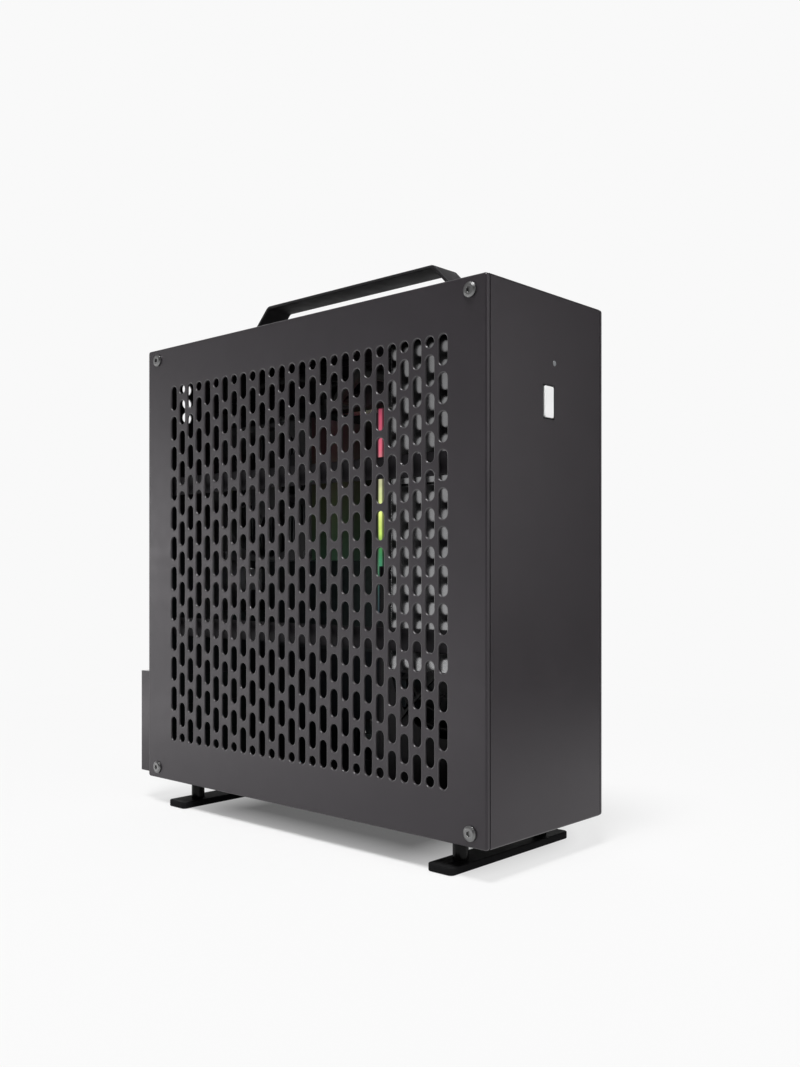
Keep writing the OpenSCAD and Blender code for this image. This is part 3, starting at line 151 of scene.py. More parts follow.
def vector_math(tree, operation, source, constant=None, result="Vector"):
    node = tree.nodes.new("ShaderNodeVectorMath")
    node.operation = operation
    tree.links.new(source, node.inputs[0])
    if constant is not None:
        node.inputs[1].default_value = constant
    return node.outputs[result]


def mixed(tree, factor, first, second):
    mix = tree.nodes.new("ShaderNodeMixShader")
    tree.links.new(factor, mix.inputs[0])
    tree.links.new(first, mix.inputs[1])
    tree.links.new(second, mix.inputs[2])
    return mix.outputs[0]


# Materials

SHEEN_TINT = (1, 0.95, 1)
BRUSHED = (1, 1, 0.04)
DRAWN = (1, 1, 0.05)


def surface(name, color, rough, spread=0.06, vary=0.12, grain=2200, bump=0.15, depth=0.00002,
            metallic=0.0, specular=0.5, stretch=(1, 1, 1), patch=35, tint=(1, 1, 1), edge=0.00035):
    """A finish with slow colour and roughness changes and a fine grain. edge rounds its edges, in metres."""
    tree, bsdf = principled(name)
    place = coords(tree)
    lo = tuple(c * (1 - vary) for c in color)
    hi = tuple(min(1.0, c * (1 + vary)) for c in color)
    slow = remap(tree, noise(tree, place, patch, 4.0, 0.55), 0, 1)
    tree.links.new(two_tone(tree, slow, lo, hi), bsdf.inputs["Base Color"])
    wear = remap(tree, noise(tree, place, patch * 3.1, 3.0), rough - spread, rough + spread)
    tree.links.new(wear, bsdf.inputs["Roughness"])
    relief = tree.nodes.new("ShaderNodeBump")
    relief.inputs["Strength"].default_value = bump
    relief.inputs["Distance"].default_value = depth
    tree.links.new(noise(tree, coords(tree, stretch), grain, 2.0, 0.6), relief.inputs["Height"])
    if edge:
        bevel = tree.nodes.new("ShaderNodeBevel")
        bevel.samples = 4
        bevel.inputs["Radius"].default_value = edge
        tree.links.new(bevel.outputs[0], relief.inputs["Normal"])
    tree.links.new(relief.outputs[0], bsdf.inputs["Normal"])
    bsdf.inputs["Metallic"].default_value = metallic
    bsdf.inputs["Specular IOR Level"].default_value = specular
    bsdf.inputs["Specular Tint"].default_value = (*tint, 1)


# The numbers after a colour are roughness, its spread, the change of colour, the grain's scale and its bump

surface("panel_paint", (0.0173, 0.0147, 0.0173), 0.4, 0.03, 0.1, 1900, 0.28, depth=0.00003,
        specular=0.45, edge=0, tint=SHEEN_TINT)
# Slot edges: the panel paint made lighter and glossier, a painted highlight on the softly broken slot edges
surface("slot_edge_painted_glint", (0.0288, 0.0256, 0.0288), 0.34, 0.03, 0.1, 1900, 0.2, specular=0.75, edge=0)
surface("shell_paint", (0.0173, 0.0144, 0.0168), 0.31, 0.02, 0.05, 1900, 0.2, specular=0.38, tint=SHEEN_TINT)
surface("inner_black", (0.016, 0.0144, 0.0168), 0.55, 0.05, specular=0.12)
surface("handle_black", (0.0181, 0.0175, 0.0186), 0.6, 0.05, 0.1, 1700, 0.3, specular=0.16, edge=0)
surface("bar_black", (0.0096, 0.0096, 0.0101), 0.62, 0.05, 0.1, 1700, 0.3, specular=0.025, edge=0)
surface("post_gloss", (0.0048, 0.0048, 0.0048), 0.16, 0.02, 0.1, 300, 0.05, specular=0.11)
surface("slot_black", (0.016, 0.016, 0.0166), 0.45, 0.05, specular=0.3)
surface("supply_paint", (0.0208, 0.02, 0.0216), 0.55, 0.05, 0.12, 1500, 0.4, specular=0.15)
surface("light_screw", (0.2, 0.2, 0.2), 0.36, 0.06, 0.1, 900, 0.2, metallic=1.0)
surface("dark_screw", (0.04, 0.04, 0.042), 0.38, 0.06, 0.1, 900, 0.2, metallic=0.8)
surface("nut_steel", (0.3, 0.3, 0.3), 0.38, 0.06, 0.08, 900, 0.2, metallic=1.0)
surface("shield_steel", (0.34, 0.34, 0.35), 0.42, 0.008, 0.02, 500, 0.25, metallic=1.0, stretch=BRUSHED)
surface("port_steel", (0.38, 0.38, 0.39), 0.32, 0.06, 0.08, 500, 0.2, metallic=1.0)
surface("grille_wire", (0.0128, 0.0128, 0.0128), 0.5, 0.05, 0.1, 900, 0.1, specular=0.2, edge=0)
surface("fin_metal", (0.12, 0.125, 0.13), 0.45, 0.06, 0.08, 700, 0.2, metallic=0.7, stretch=DRAWN)
surface("drive_metal", (0.3, 0.3, 0.305), 0.17, 0.04, 0.08, 900, 0.12, metallic=1.0, edge=0.0005)
surface("standoff_brass", (0.4, 0.29, 0.13), 0.35, 0.05, 0.1, 500, 0.1, metallic=1.0)
surface("button_white", (0.86, 0.86, 0.86), 0.4, 0.05, 0.02, 700, 0.1)
surface("inner_plastic", (0.016, 0.016, 0.0176), 0.5, 0.06, 0.12, 1200, 0.25, specular=0.3)
surface("fan_plastic", (0.016, 0.016, 0.0173), 0.5, 0.06, 0.12, 1200, 0.2, specular=0.2)
surface("memory_black", (0.0192, 0.0192, 0.0208), 0.42, 0.05, 0.1, 700, 0.2, specular=0.25, stretch=DRAWN)
surface("board", (0.0112, 0.0125, 0.0138), 0.4, 0.05, 0.35, 420, 0.2, patch=240, specular=0.25)
surface("socket_steel", (0.3, 0.31, 0.32), 0.36, 0.06, 0.08, 700, 0.2, metallic=1.0)
surface("socket_white", (0.6, 0.58, 0.54), 0.5, 0.05, 0.04, 900, 0.15)
surface("lead_black", (0.016, 0.016, 0.016), 0.55, 0.06, 0.15, 900, 0.2, specular=0.2, edge=0)
surface("port_blue", (0.018, 0.075, 0.24), 0.4, 0.05, 0.08, 900, 0.1)
surface("contact_gold", (0.55, 0.4, 0.16), 0.3, 0.05, 0.08, 900, 0.1, metallic=1.0, edge=0)
surface("light_lens", (0.168, 0.175, 0.182), 0.2, 0.03, 0.05, 400, 0.05)

# The lit bar: colours by the share of its height, from its foot to its top

BAR_FOOT, BAR_TOP = 0.126, 0.258
BAR_COLORS = [
    (0.0, (0.005, 0.02, 0.06)), (0.16, (0.0, 0.06, 0.08)), (0.28, (0.0, 0.14, 0.06)),
    (0.36, (0.03, 0.2, 0.03)), (0.41, (0.5, 0.7, 0.12)), (0.5, (0.75, 0.85, 0.22)),
    (0.58, (0.62, 0.68, 0.3)), (0.66, (0.5, 0.5, 0.3)), (0.72, (0.6, 0.3, 0.28)),
    (0.8, (0.6, 0.1, 0.16)), (0.92, (0.5, 0.07, 0.13)), (1.0, (0.3, 0.03, 0.07)),
]
CORE_LIGHT, SIDE_LIGHT = 1.05, 0.2
CORE_HALF, SIDE_HALF = 0.0009, 0.0017


def light_bar():
    """Light that runs from blue over green and yellow to pink, and is strongest along the bar's middle."""
    tree, bsdf = principled("memory_light")
    parts = tree.nodes.new("ShaderNodeSeparateXYZ")
    tree.links.new(coords(tree), parts.inputs[0])
    ramp = tree.nodes.new("ShaderNodeValToRGB")
    tree.links.new(remap(tree, parts.outputs["Z"], 0, 1, BAR_FOOT, BAR_TOP), ramp.inputs[0])
    stops = ramp.color_ramp.elements
    while len(stops) > 1:
        stops.remove(stops[-1])
    stops[0].position = BAR_COLORS[0][0]
    stops[0].color = (*BAR_COLORS[0][1], 1)
    for place, color in BAR_COLORS[1:]:
        stops.new(place).color = (*color, 1)
    tree.links.new(ramp.outputs[0], bsdf.inputs["Emission Color"])
    lo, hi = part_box("memory_light_bar")
    aside = combined(tree, "ABSOLUTE", combined(tree, "SUBTRACT", parts.outputs["Y"], (lo[1] + hi[1]) / 2))
    core = remap(tree, aside, CORE_LIGHT, SIDE_LIGHT, CORE_HALF, SIDE_HALF)
    uneven = remap(tree, noise(tree, coords(tree), 160, 2.0), 0.85, 1.15)
    tree.links.new(combined(tree, "MULTIPLY", core, uneven), bsdf.inputs["Emission Strength"])
    bsdf.inputs["Base Color"].default_value = (0.06, 0.06, 0.06, 1)
    bsdf.inputs["Roughness"].default_value = 0.5


light_bar()

FINISH = {
    "panel_paint": "left_side_panel right_side_panel",
    "shell_paint": "body_shell rear_panel slot_clamp_cover slot_ledge",
    "inner_black": "side_rails mainboard_tray supply_bracket drive_plate",
    "handle_black": "handle",
    "bar_black": "front_foot_bar rear_foot_bar",
    "post_gloss": "foot_posts",
    "slot_black": "slot_covers",
    "supply_paint": "supply_case",
    "light_screw": "left_panel_screws right_panel_screws slot_screws clamp_screw inlet_screws",
    "dark_screw": "shell_screws handle_screws foot_screws cooler_fan_screws",
    "nut_steel": "handle_nuts foot_nuts board_screws supply_screws drive_screws",
    "shield_steel": "io_shield",
    "port_steel": "rear_ports",
    "grille_wire": "supply_fan_grille",
    "fin_metal": "cooler_fins",
    "drive_metal": "drives",
    "standoff_brass": "board_standoffs",
    "button_white": "power_button",
    "inner_plastic": "power_switch audio_jacks memory_sockets card_slot board_power_plug supply_core "
                     "supply_inlet supply_plug rear_inlet",
    "fan_plastic": "cooler_fan_frame cooler_fan_rotor supply_fan_rotor",
    "memory_black": "memory_stick",
    "board": "mainboard",
    "socket_steel": "processor_socket",
    "socket_white": "board_power_socket",
    "lead_black": "switch_lead board_power_cable inlet_lead",
    "light_lens": "status_light",
    "memory_light": "memory_light_bar",
}
for finish, names in FINISH.items():
    for name in names.split():
        obj = nodes[name]
        obj.data.materials.clear()
        obj.data.materials.append(bpy.data.materials[finish])


# Mesh helpers. A mesh is three lists: points in millimetres, faces, and whether each face is smooth

def add_piece(name, mesh, material, body="case"):
    verts, faces, smooth = mesh
    data = bpy.data.meshes.new(name)
    data.from_pydata([tuple(float(c) * MM for c in v) for v in verts], [], faces)
    data.update()
    data.polygons.foreach_set("use_smooth", np.array(smooth, dtype=bool))
    data.materials.append(bpy.data.materials[material])
    obj = bpy.data.objects.new(name, data)
    bpy.context.scene.collection.objects.link(obj)
    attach(obj, body)
    return obj


def add_bands(mesh, rings, flip=False, sharp=()):
    """Quads between rings of equal count. The bands whose number is in sharp are shaded flat."""
    verts, faces, smooth = mesh
    start, n = len(verts), len(rings[0])
    for ring in rings:
        verts.extend(ring)
    for i in range(len(rings) - 1):
        for k in range(n):
            quad = [start + i * n + k, start + i * n + (k + 1) % n,
                    start + (i + 1) * n + (k + 1) % n, start + (i + 1) * n + k]
            faces.append(quad[::-1] if flip else quad)
            smooth.append(i not in sharp)


def add_sheet(mesh, filled, place, flip):
    """A flat sheet of triangles. place turns its points into points in space."""
    verts, faces, smooth = mesh
    points, triangles = filled
    start = len(verts)
    verts.extend(place(*p) for p in points)
    for triangle in triangles:
        face = [int(start + k) for k in triangle]
        faces.append(face[::-1] if flip else face)
        smooth.append(False)


def rounded_rect(w, h, r, inset, n=5):
    """Points round a w by h rectangle about the middle, its corners' centres the same at every inset."""
    rr = max(r - inset, 0.02)
    points = []
    for cx, cy, a0 in ((1, 1, 0), (-1, 1, 90), (-1, -1, 180), (1, -1, 270)):
        for k in range(n + 1):
            a = math.radians(a0 + 90 * k / n)
            points.append((cx * (w / 2 - r) + rr * math.cos(a), cy * (h / 2 - r) + rr * math.sin(a)))
    return points


def circle(cx, cy, r, n=40):
    return [(cx + r * math.cos(2 * math.pi * k / n), cy + r * math.sin(2 * math.pi * k / n))
            for k in range(n)]


def inside(slots, grow, slack):
    """A test for points in upright slots, each given by its middle, straight half length and radius.

    slack keeps points on a slot's own edge out of it.
    """
    def test(a, b):
        hit = np.zeros(len(a), dtype=bool)
        for ca, cb, half, r in slots:
            off = np.maximum(np.abs(b - cb) - half, 0)
            hit |= (a - ca) ** 2 + off ** 2 < (r + grow - slack) ** 2
        return hit
    return test


def perforated(outer, holes, in_hole):
    """Points and triangles that fill the outer loop and leave the holes open."""
    points, edges = [], []
    for loop in [outer] + holes:
        start = len(points)
        points += [Vector(p) for p in loop]
        edges += [(start + k, start + (k + 1) % len(loop)) for k in range(len(loop))]
    verts, _, faces, *_ = delaunay_2d_cdt(points, edges, [], 1, 1e-6)
    verts = [tuple(v) for v in verts]
    triangles = np.array([list(f) for f in faces if len(f) == 3])
    middle = np.array(verts)[triangles].mean(axis=1)
    return verts, triangles[~in_hole(middle[:, 0], middle[:, 1])]


# Vented side panels: a pressed sheet with a rounded rim and softly broken slot edges. The slot edges carry a
# lighter, glossier copy of the panel paint, a painted highlight that brightens their glints

SHEET, RIM, SEAM = 1.2, 3.0, 0.45
PANEL_R, RIM_SOFT, SLOT_SOFT = 1.7, 0.25, 0.65
VENT_W, VENT_L, COL, ROW, END_D = 6.0, 16.0, 9.0, 20.0, 5.8
SIDE_COLS, ROWS = 13, 12


def vents():
    """Middle, straight half length and radius of every opening, as (y, z) on the panel."""
    out = []
    for i in range(-SIDE_COLS, SIDE_COLS + 1):
        short = (SIDE_COLS - abs(i)) % 2
        count = ROWS - short
        for j in range(count):
            out.append((i * COL, (j - (count - 1) / 2) * ROW, (VENT_L - VENT_W) / 2, VENT_W / 2))
        if short:
            z = (ROWS - 1) * ROW / 2 + (VENT_L - END_D) / 2
            out += [(i * COL, z, 0.0, END_D / 2), (i * COL, -z, 0.0, END_D / 2)]
    return out


def vent_ring(vent, grow, n=9):
    y, z, half, r = vent
    if half == 0:
        return circle(y, z, r + grow, 2 * n + 2)
    points = []
    for s, a0 in ((1, 0), (-1, 180)):
        for k in range(n + 1):
            a = math.radians(a0 + 180 * k / n)
            points.append((y + (r + grow) * math.cos(a), z + s * half + (r + grow) * math.sin(a)))
    return points


VENTS = vents()


def side_panel(name, side):
    """A panel made about its own middle as the left one. side is -1 for the left and 1 for the right."""
    mesh = verts, faces, smooth = [], [], []
    x0 = -CASE_W / 2

    def edge(x, inset):
        return [(x, *p) for p in rounded_rect(CASE_D, CASE_H, PANEL_R, inset)]

    def sheet(x, grow, flip):
        outer = rounded_rect(CASE_D, CASE_H, PANEL_R, SHEET)
        filled = perforated(outer, [vent_ring(v, grow) for v in VENTS], inside(VENTS, grow, 0.02))
        add_sheet(mesh, filled, lambda a, b: (x, a, b), flip)

    sheet(x0, SLOT_SOFT, True)
    sheet(x0 + SHEET, 0.0, False)
    rim = []
    for k in range(6):
        a = math.radians(90 * k / 5)
        rim.append(edge(x0 + SHEET * (1 - math.cos(a)), SHEET * (1 - math.sin(a))))
    rim_end = x0 + RIM - SEAM
    rim += [edge(rim_end - RIM_SOFT, 0), edge(rim_end, RIM_SOFT)]
    rim += [edge(rim_end, SHEET), edge(x0 + SHEET, SHEET)]
    add_bands(mesh, rim, flip=True, sharp=(5, 7, 8))
    first_slot = len(faces)
    for vent in VENTS:
        rings = []
        for k in range(5):
            a = math.radians(90 * k / 4)
            x = x0 + SLOT_SOFT * (1 - math.cos(a))
            rings.append([(x, *p) for p in vent_ring(vent, SLOT_SOFT * (1 - math.sin(a)))])
        rings.append([(x0 + SHEET, *p) for p in vent_ring(vent, 0)])
        add_bands(mesh, rings)
    placed = [(side * -x, SHIFT_Y + y, MID_Z + z) for x, y, z in verts]
    if side > 0:
        faces = [f[::-1] for f in faces]
    panel = add_piece(name, (placed, faces, smooth), "panel_paint")
    # The slot edge rings take the lighter, glossier copy of the paint, a painted highlight that brightens
    # their glints
    panel.data.materials.append(bpy.data.materials["slot_edge_painted_glint"])
    which = np.zeros(len(faces), dtype=np.int32)
    which[first_slot:] = 1
    panel.data.polygons.foreach_set("material_index", which)
    return panel


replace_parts(side_panel("left_panel_sheet", -1), "left_side_panel")
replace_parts(side_panel("right_panel_sheet", 1), "right_side_panel")


# Handle: a flat bar bent to shape, its long edges softly broken

HANDLE_H, HANDLE_W, HANDLE_T, HANDLE_R, HANDLE_SOFT = 27.0, 20.0, 2.0, 4.0, 0.45
GRIP, BASE, FOOT = 72.5, 97.0, 24.0
END_SOFT = 0.25


def bent(points, r, n):
    """A route in the plane with an arc of radius r at every corner."""
    out = [np.array(points[0], float)]
    for corner in zip(points, points[1:], points[2:]):
        a, b, c = (np.array(q, float) for q in corner)
        u = (a - b) / np.linalg.norm(a - b)
        v = (c - b) / np.linalg.norm(c - b)
        half = math.acos(max(-1.0, min(1.0, float(u @ v)))) / 2
        middle = b + (u + v) / np.linalg.norm(u + v) * r / math.sin(half)
        start = b + u * r / math.tan(half) - middle
        end = b + v * r / math.tan(half) - middle
        for k in range(n + 1):
            w = start * (1 - k / n) + end * (k / n)
            out.append(middle + w / np.linalg.norm(w) * r)
    out.append(np.array(points[-1], float))
    return out


def flat_bar(name, route, width, thick, soft, material):
    """A bar of rounded section swept along a route of (y, z), with its ends closed and softened."""
    section = rounded_rect(width, thick, soft, 0, 4)
    inner = rounded_rect(width - 2 * END_SOFT, thick - 2 * END_SOFT, soft, 0, 4)
    n = len(section)
    rings = []
    for i, q in enumerate(route):
        along = route[min(i + 1, len(route) - 1)] - route[max(i - 1, 0)]
        along = along / np.linalg.norm(along)
        up = np.array([-along[1], along[0]])
        loops = [(q, section)]
        if i == 0:
            loops = [(q, inner), (q + END_SOFT * along, section)]
        if i == len(route) - 1:
            loops = [(q - END_SOFT * along, section), (q, inner)]
        for at, loop in loops:
            rings.append([(a, *(at + up * b)) for a, b in loop])
    mesh = verts, faces, smooth = [], [], []
    add_bands(mesh, rings)
    faces += [list(range(n))[::-1], [len(verts) - n + k for k in range(n)]]
    smooth += [False, False]
    return add_piece(name, mesh, material)


foot_z, grip_z = TOP_Z + HANDLE_T / 2, TOP_Z + HANDLE_H - HANDLE_T / 2
handle_route = bent([(-BASE - FOOT, foot_z), (-BASE, foot_z), (-GRIP, grip_z),
                     (GRIP, grip_z), (BASE, foot_z), (BASE + FOOT, foot_z)], HANDLE_R, 8)
handle_route = [q + np.array([SHIFT_Y, 0]) for q in handle_route]
strap = flat_bar("handle_strap", handle_route, HANDLE_W, HANDLE_T, HANDLE_SOFT,
                 "handle_black")
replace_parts(strap, "handle")


# Foot bars: flat bars with rounded corners, their screw holes sunk from below

BAR_W, BAR_T, BAR_Y, POST_X = 17.5, 4.2, 114.4, 36.0
BAR_R, BAR_SOFT = 3.0, 0.6
SINK_R, HOLE_R, SINK_TOP = 4.05, 2.2, 2.3


def foot_bar(name, y, node):
    mesh = verts, faces, smooth = [], [], []
    posts = (-POST_X, POST_X)

    def edge(z, inset):
        return [(*p, z) for p in rounded_rect(CASE_W, BAR_W, BAR_R, inset, 6)]

    def sheet(z, r, flip):
        outer = rounded_rect(CASE_W, BAR_W, BAR_R, BAR_SOFT, 6)
        in_hole = inside([(x, 0, 0, r) for x in posts], 0, 0.01)
        filled = perforated(outer, [circle(x, 0, r) for x in posts], in_hole)
        add_sheet(mesh, filled, lambda a, b: (a, b, z), flip)

    sheet(0.0, SINK_R, True)
    sheet(BAR_T, HOLE_R, False)
    turns = [math.radians(90 * k / 4) for k in range(5)]
    rim = [(BAR_SOFT * (1 - math.cos(a)), BAR_SOFT * (1 - math.sin(a))) for a in turns]
    lower = [edge(z, inset) for z, inset in rim]
    upper = [edge(BAR_T - z, inset) for z, inset in rim[::-1]]
    add_bands(mesh, lower + upper)
    for x in posts:
        add_bands(mesh, [[(*p, z) for p in circle(x, 0, r)]
                         for z, r in ((BAR_T, HOLE_R), (SINK_TOP, HOLE_R), (0.0, SINK_R))])
    placed = [(a, b + y, c) for a, b, c in verts]
    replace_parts(add_piece(name, (placed, faces, smooth), "bar_black"), node)


foot_bar("front_bar_soft", SHIFT_Y - BAR_Y, "front_foot_bar")
foot_bar("rear_bar_soft", SHIFT_Y + BAR_Y, "rear_foot_bar")


# Slabs: rounded blocks that stand on a wall, their free edge softly broken

def slab(name, places, depth, r, soft, material, body="case", out=1.0):
    """Blocks as (x, z, width, height, y of the foot). out is the way in Y that they stand."""
    mesh = verts, faces, smooth = [], [], []
    steps = [(0.0, 0.0), (depth - soft, 0.0)]
    for degrees in (30, 60, 90):
        a = math.radians(degrees)
        steps.append((depth - soft + soft * math.sin(a), soft * (1 - math.cos(a))))
    for x, z, w, h, y0 in places:
        rings = [[(x + u, y0 + out * d, z + v) for u, v in rounded_rect(w, h, r, inset, 4)]
                 for d, inset in steps]
        start, n = len(verts), len(rings[0])
        add_bands(mesh, rings, flip=out > 0, sharp=(0,))
        for first, flip in ((start, out < 0), (len(verts) - n, out > 0)):
            cap = list(range(first, first + n))
            faces.append(cap[::-1] if flip else cap)
            smooth.append(False)
    return add_piece(name, mesh, material, body)


# Power button: a white cap that stands on a dark skirt. Its back stays clear of the switch when pressed

BUTTON_W, BUTTON_H, BUTTON_Z = 10.0, 18.0, 248.0
CAP_W, CAP_H, CAP_BACK = 8.2, 16.8, 0.6
SKIRT_BACK, SKIRT_DEPTH = 2.7, 2.3

button_lo = Vector(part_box("power_button")[0]) / MM
cap = slab("button_cap", [(0, BUTTON_Z, CAP_W, CAP_H, FRONT_Y + CAP_BACK)], FRONT_Y + CAP_BACK - button_lo.y,
           r=0.9, soft=0.35, material="button_white", body="button", out=-1.0)
skirt = slab("button_skirt", [(0, BUTTON_Z, BUTTON_W, BUTTON_H, FRONT_Y + SKIRT_BACK)], SKIRT_DEPTH,
             r=1.0, soft=0.2, material="inner_plastic", body="button", out=-1.0)
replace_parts(cap, "power_button")
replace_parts(skirt, "power_button")


# Rear ports: dark floors, tongues and contacts in the shallow mouths, steel rings in the sound jacks

SCREEN_W, SCREEN_H, USB_H, LAN_H = 15.6, 7.0, 16.2, 29.0
USB_STEPS, LAN_STEP, JACK_STEP = (22, 42, 88), 64, 28
MOUTH_W, MOUTH_H, LAN_MOUTH, RECESS = 12.6, 5.2, 11.4, 3.6
LOOSE, CLEAR, SKIN, FLOOR_T = 0.1, 0.1, 0.02, 0.4
USB_SHARES, LAN_USB_SHARES, LAN_SHARE = (0.27, 0.73), (0.15, 0.4), 0.745
TONGUE_OFF, TONGUE_T, TONGUE_W, TONGUE_SHORT = 0.9, 1.9, 11.2, 0.5
SCREEN_TONGUE_T, SCREEN_TONGUE_W = 1.4, 9.6
PIN_SHORT = 1.2
LIGHT_H, LIGHT_W, LIGHT_T = 1.6, 2.6, 1.5
LAN_PINS, LAN_PIN_PITCH = 8, 1.02
JACKS, JACK_PITCH = 3, 11
JACK_PROFILE = [(2.75, 0.0), (2.75, 0.18), (2.6, 0.3), (2.15, 0.3), (1.95, 0.2), (1.85, 0.0), (1.85, -2.5)]

port_lo, port_hi = (Vector(c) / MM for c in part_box("rear_ports"))
face_x, port_end = port_hi.x, port_hi.y
screen_z = port_lo.z + SCREEN_W / 2
screen_x = face_x - SCREEN_H / 2
lan_z = screen_z + LAN_STEP
lan_x = face_x - LAN_SHARE * LAN_H
usb_mouths = [(face_x - k * USB_H, screen_z + step) for step in USB_STEPS for k in USB_SHARES]
usb_mouths += [(face_x - k * LAN_H, lan_z) for k in LAN_USB_SHARES]
floor_y = port_end - RECESS - SKIN

floors = [(x, z, MOUTH_H - LOOSE, MOUTH_W - LOOSE, floor_y) for x, z in usb_mouths + [(screen_x, screen_z)]]
floors.append((lan_x, lan_z, LAN_MOUTH - LOOSE, MOUTH_W - LOOSE, floor_y))
slab("port_floors", floors, FLOOR_T, r=0.3, soft=0.1, material="inner_plastic")

tongues = [(x + TONGUE_OFF, z, TONGUE_T, TONGUE_W, floor_y) for x, z in usb_mouths]
tongues.append((screen_x, screen_z, SCREEN_TONGUE_T, SCREEN_TONGUE_W, floor_y))
slab("port_tongues", tongues, RECESS - TONGUE_SHORT, r=0.25, soft=0.2,
     material="port_blue")

pins = [(x - 0.15, z + 2.5 * k, 0.35, 1.1, floor_y) for x, z in usb_mouths for k in (-1.5, -0.5, 0.5, 1.5)]
pins += [(lan_x - 1.5, lan_z + LAN_PIN_PITCH * (k - (LAN_PINS - 1) / 2), 6.0, 0.36, floor_y)
         for k in range(LAN_PINS)]
slab("port_pins", pins, RECESS - PIN_SHORT, r=0.12, soft=0.05, material="contact_gold")

lights = [(lan_x - LAN_MOUTH / 2 - 0.1, lan_z + s * 4.6, LIGHT_H, LIGHT_W, port_end - LIGHT_T + CLEAR)
          for s in (-1, 1)]
slab("lan_lights", lights, LIGHT_T, r=0.3, soft=0.15, material="light_lens")


def jack_rings():
    """A turned steel ring in each sound jack's face."""
    mesh = [], [], []
    for i in range(JACKS):
        x = face_x - JACK_PITCH * (i + 0.5)
        add_bands(mesh, [[(a, port_end + SKIN + d, b) for a, b in circle(x, screen_z - JACK_STEP, r)]
                         for r, d in JACK_PROFILE])
    add_piece("jack_rings", mesh, "socket_steel")


jack_rings()


# World: even light for matt surfaces, the pale background for the camera, a shaded studio for gloss

BACK = 0.947
AMBIENT = 0.07
TO_CAMERA = (-0.74, -0.67, 0)
EDGE_REAR, EDGE_FRONT = (0.643, 0.766, 0), (1.0, -0.6, 0)


def ray_kinds(tree):
    """Whether a ray comes from the camera, gloss or glass, and whether it comes from gloss."""
    path = tree.nodes.new("ShaderNodeLightPath")
    gloss = path.outputs["Is Glossy Ray"]
    seen = combined(tree, "MAXIMUM", path.outputs["Is Camera Ray"], gloss)
    return combined(tree, "MAXIMUM", seen, path.outputs["Is Transmission Ray"]), gloss


world = bpy.data.worlds.new("studio")
bpy.context.scene.world = world
world.use_nodes = True
sky = world.node_tree
sky.nodes.clear()
sky_out = sky.nodes.new("ShaderNodeOutputWorld")
direction = sky.nodes.new("ShaderNodeTexCoord").outputs["Generated"]


def background(strength, level=None):
    node = sky.nodes.new("ShaderNodeBackground")
    node.inputs["Strength"].default_value = strength
    if level is not None:
        node.inputs["Color"].default_value = (level, level, level, 1)
    return node


def toward(way, lo, hi, start, end):
    """lo to hi as the direction turns towards way."""
    dot = vector_math(sky, "DOT_PRODUCT", direction, way, "Value")
    return remap(sky, dot, lo, hi, start, end)


height = sky.nodes.new("ShaderNodeSeparateXYZ")
sky.links.new(direction, height.inputs[0])
fall = remap(sky, height.outputs["Z"], BACK, 0.32, -0.08, 0.42)
near_camera = toward(TO_CAMERA, 1.0, 0.12, 0.2, 0.65)
right_edge = combined(sky, "MAXIMUM", toward(EDGE_REAR, 1.0, 0.08, -0.03, 0.08),
                      toward(EDGE_FRONT, 1.0, 0.0, 0.85, 1.0))
room = background(1.0)
tone = combined(sky, "MULTIPLY", combined(sky, "MULTIPLY", fall, near_camera), right_edge)
sky.links.new(tone, room.inputs["Color"])
seen, gloss = ray_kinds(sky)
plain = mixed(sky, seen, background(AMBIENT, 1).outputs[0], background(1.0, BACK).outputs[0])
sky.links.new(mixed(sky, gloss, plain, room.outputs[0]), sky_out.inputs[0])


# Floor: matt near the case, so that its shadow shows, and the background's own tone further out.
# Gloss sees it dark beyond an edge on the right, as a studio table's end

FLOOR_HALF, FLOOR_DROP = 8, 0.0002
FLOOR_GREY, EDGE_GREY = 0.72, 0.05
CASE_CORE = (0.02, 0.07, 0)
TO_FLOOR_EDGE = (0.85, -0.53, 0)

floor_tree, floor_out = new_material("floor_pale")
matt = floor_tree.nodes.new("ShaderNodeBsdfDiffuse")
matt.inputs["Color"].default_value = (FLOOR_GREY, FLOOR_GREY, FLOOR_GREY, 1)


def emission(level):
    node = floor_tree.nodes.new("ShaderNodeEmission")
    node.inputs["Color"].default_value = (level, level, level, 1)
    node.inputs["Strength"].default_value = 1.0
    return node.outputs[0]


beyond = vector_math(floor_tree, "ABSOLUTE", coords(floor_tree))
beyond = vector_math(floor_tree, "SUBTRACT", beyond, CASE_CORE)
beyond = vector_math(floor_tree, "MAXIMUM", beyond, (0, 0, 0))
distance = vector_math(floor_tree, "LENGTH", beyond, result="Value")
share = combined(floor_tree, "ADD", remap(floor_tree, distance, 0.12, 0.8, 0.0, 0.075),
                 remap(floor_tree, distance, 0.0, 0.2, 0.1, 0.8))
seen, gloss = ray_kinds(floor_tree)
table = mixed(floor_tree, combined(floor_tree, "MULTIPLY", share, seen), matt.outputs[0], emission(BACK))
along = vector_math(floor_tree, "DOT_PRODUCT", coords(floor_tree), TO_FLOOR_EDGE, "Value")
reach = combined(floor_tree, "MAXIMUM", combined(floor_tree, "SUBTRACT", 1.0, gloss),
                 remap(floor_tree, along, 1.0, 0.1, 0.35, 0.9))
floor_tree.links.new(mixed(floor_tree, reach, emission(EDGE_GREY), table), floor_out.inputs[0])

floor_mesh = bpy.data.meshes.new("floor")
floor_mesh.from_pydata([(a * FLOOR_HALF, b * FLOOR_HALF, 0) for a, b in ((-1, -1), (1, -1), (1, 1), (-1, 1))],
                       [], [(0, 1, 2, 3)])
floor_mesh.materials.append(bpy.data.materials["floor_pale"])
floor = bpy.data.objects.new("floor", floor_mesh)
bpy.context.scene.collection.objects.link(floor)
floor.location.z = -FLOOR_DROP


# Lamps: name, place, target, width and height in metres, power in watts

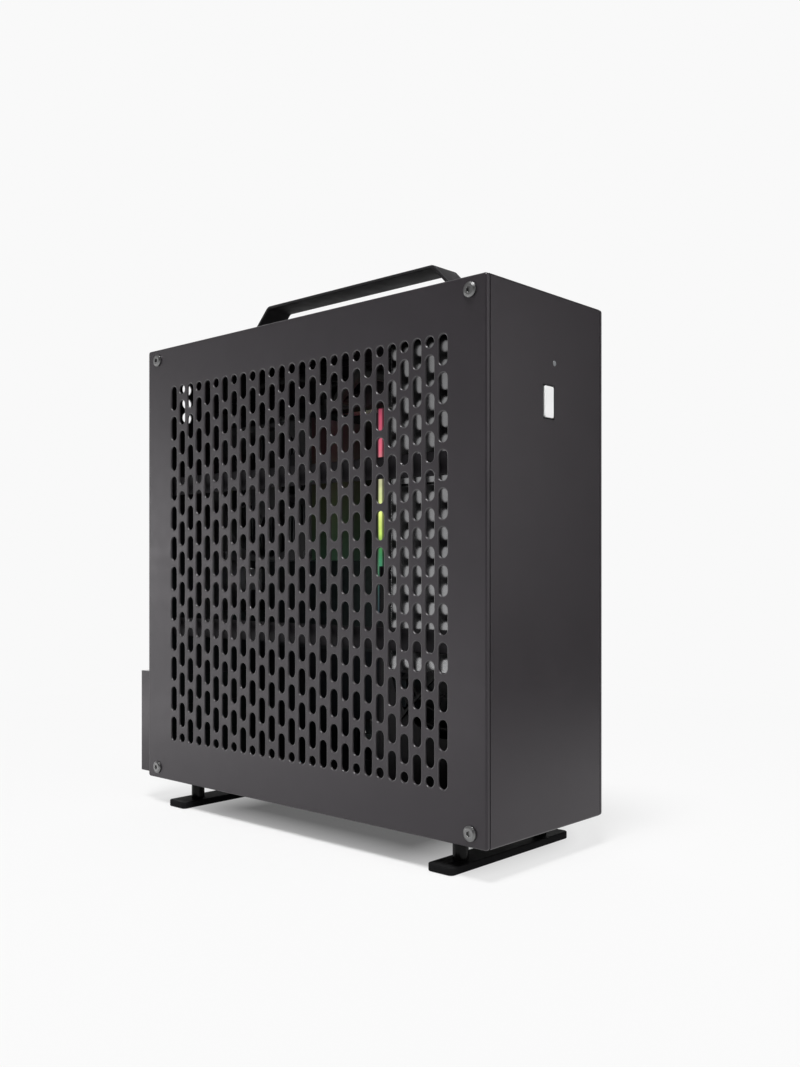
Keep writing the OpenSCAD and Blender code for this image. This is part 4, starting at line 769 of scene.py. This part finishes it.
LAMPS = [
    ("key_top_left", (-1.25, -0.5, 3.95), (0, 0, 0.15), 1.1, 1.1, 215),
    ("side_rear", (-1.0, 1.9, 0.21), (-0.05, 0.1, 0.15), 0.8, 0.38, 3.9),
    ("side_low", (-0.38, 0.25, 0.015), (-0.054, 0.0, 0.03), 0.55, 0.02, 0.15),
    ("fill_front", (0.2, -2.1, 0.8), (0, 0, 0.12), 2.0, 2.0, 18),
    ("front_soft", (1.25, -1.65, 0.35), (0, -0.15, 0.15), 1.0, 1.0, 3.0),
    ("fill_back", (1.5, 1.6, 1.0), (0, 0, 0.15), 2.0, 2.0, 15),
]
GLOSS_ONLY = "side_rear"

# Stray light of the lit bar: share of the bar's height, power in watts, colour

STRAY_OUT, STRAY_BEHIND, STRAY_SIZE = 0.006, 0.012, 0.004
STRAY = [
    (0.85, 0.0125, (1.0, 0.25, 0.4)),
    (0.52, 0.0125, (0.8, 1.0, 0.3)),
    (0.25, 0.019, (0.35, 1.0, 0.5)),
    (-0.1, 0.031, (0.3, 0.7, 0.8)),
]


def add_light(name, kind, power, place):
    data = bpy.data.lights.new(name, kind)
    data.energy = power
    obj = bpy.data.objects.new(name, data)
    bpy.context.scene.collection.objects.link(obj)
    obj.location = place
    obj.visible_camera = False
    return data, obj


for name, place, target, width, tall, power in LAMPS:
    data, obj = add_light(name, "AREA", power, place)
    data.shape = "RECTANGLE"
    data.size = width
    data.size_y = tall
    obj.rotation_euler = (Vector(target) - Vector(place)).to_track_quat("-Z", "Y").to_euler()
    obj.visible_diffuse = name != GLOSS_ONLY

bar_lo, bar_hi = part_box("memory_light_bar")
stray_x = bar_lo[0] - STRAY_OUT
stray_y = (bar_lo[1] + bar_hi[1]) / 2 + STRAY_BEHIND
for k, (share, power, color) in enumerate(STRAY):
    place = (stray_x, stray_y, bar_lo[2] + share * (bar_hi[2] - bar_lo[2]))
    data, obj = add_light("bar_glow_%d" % k, "POINT", power, place)
    data.color = color
    data.shadow_soft_size = STRAY_SIZE
    obj.visible_glossy = False
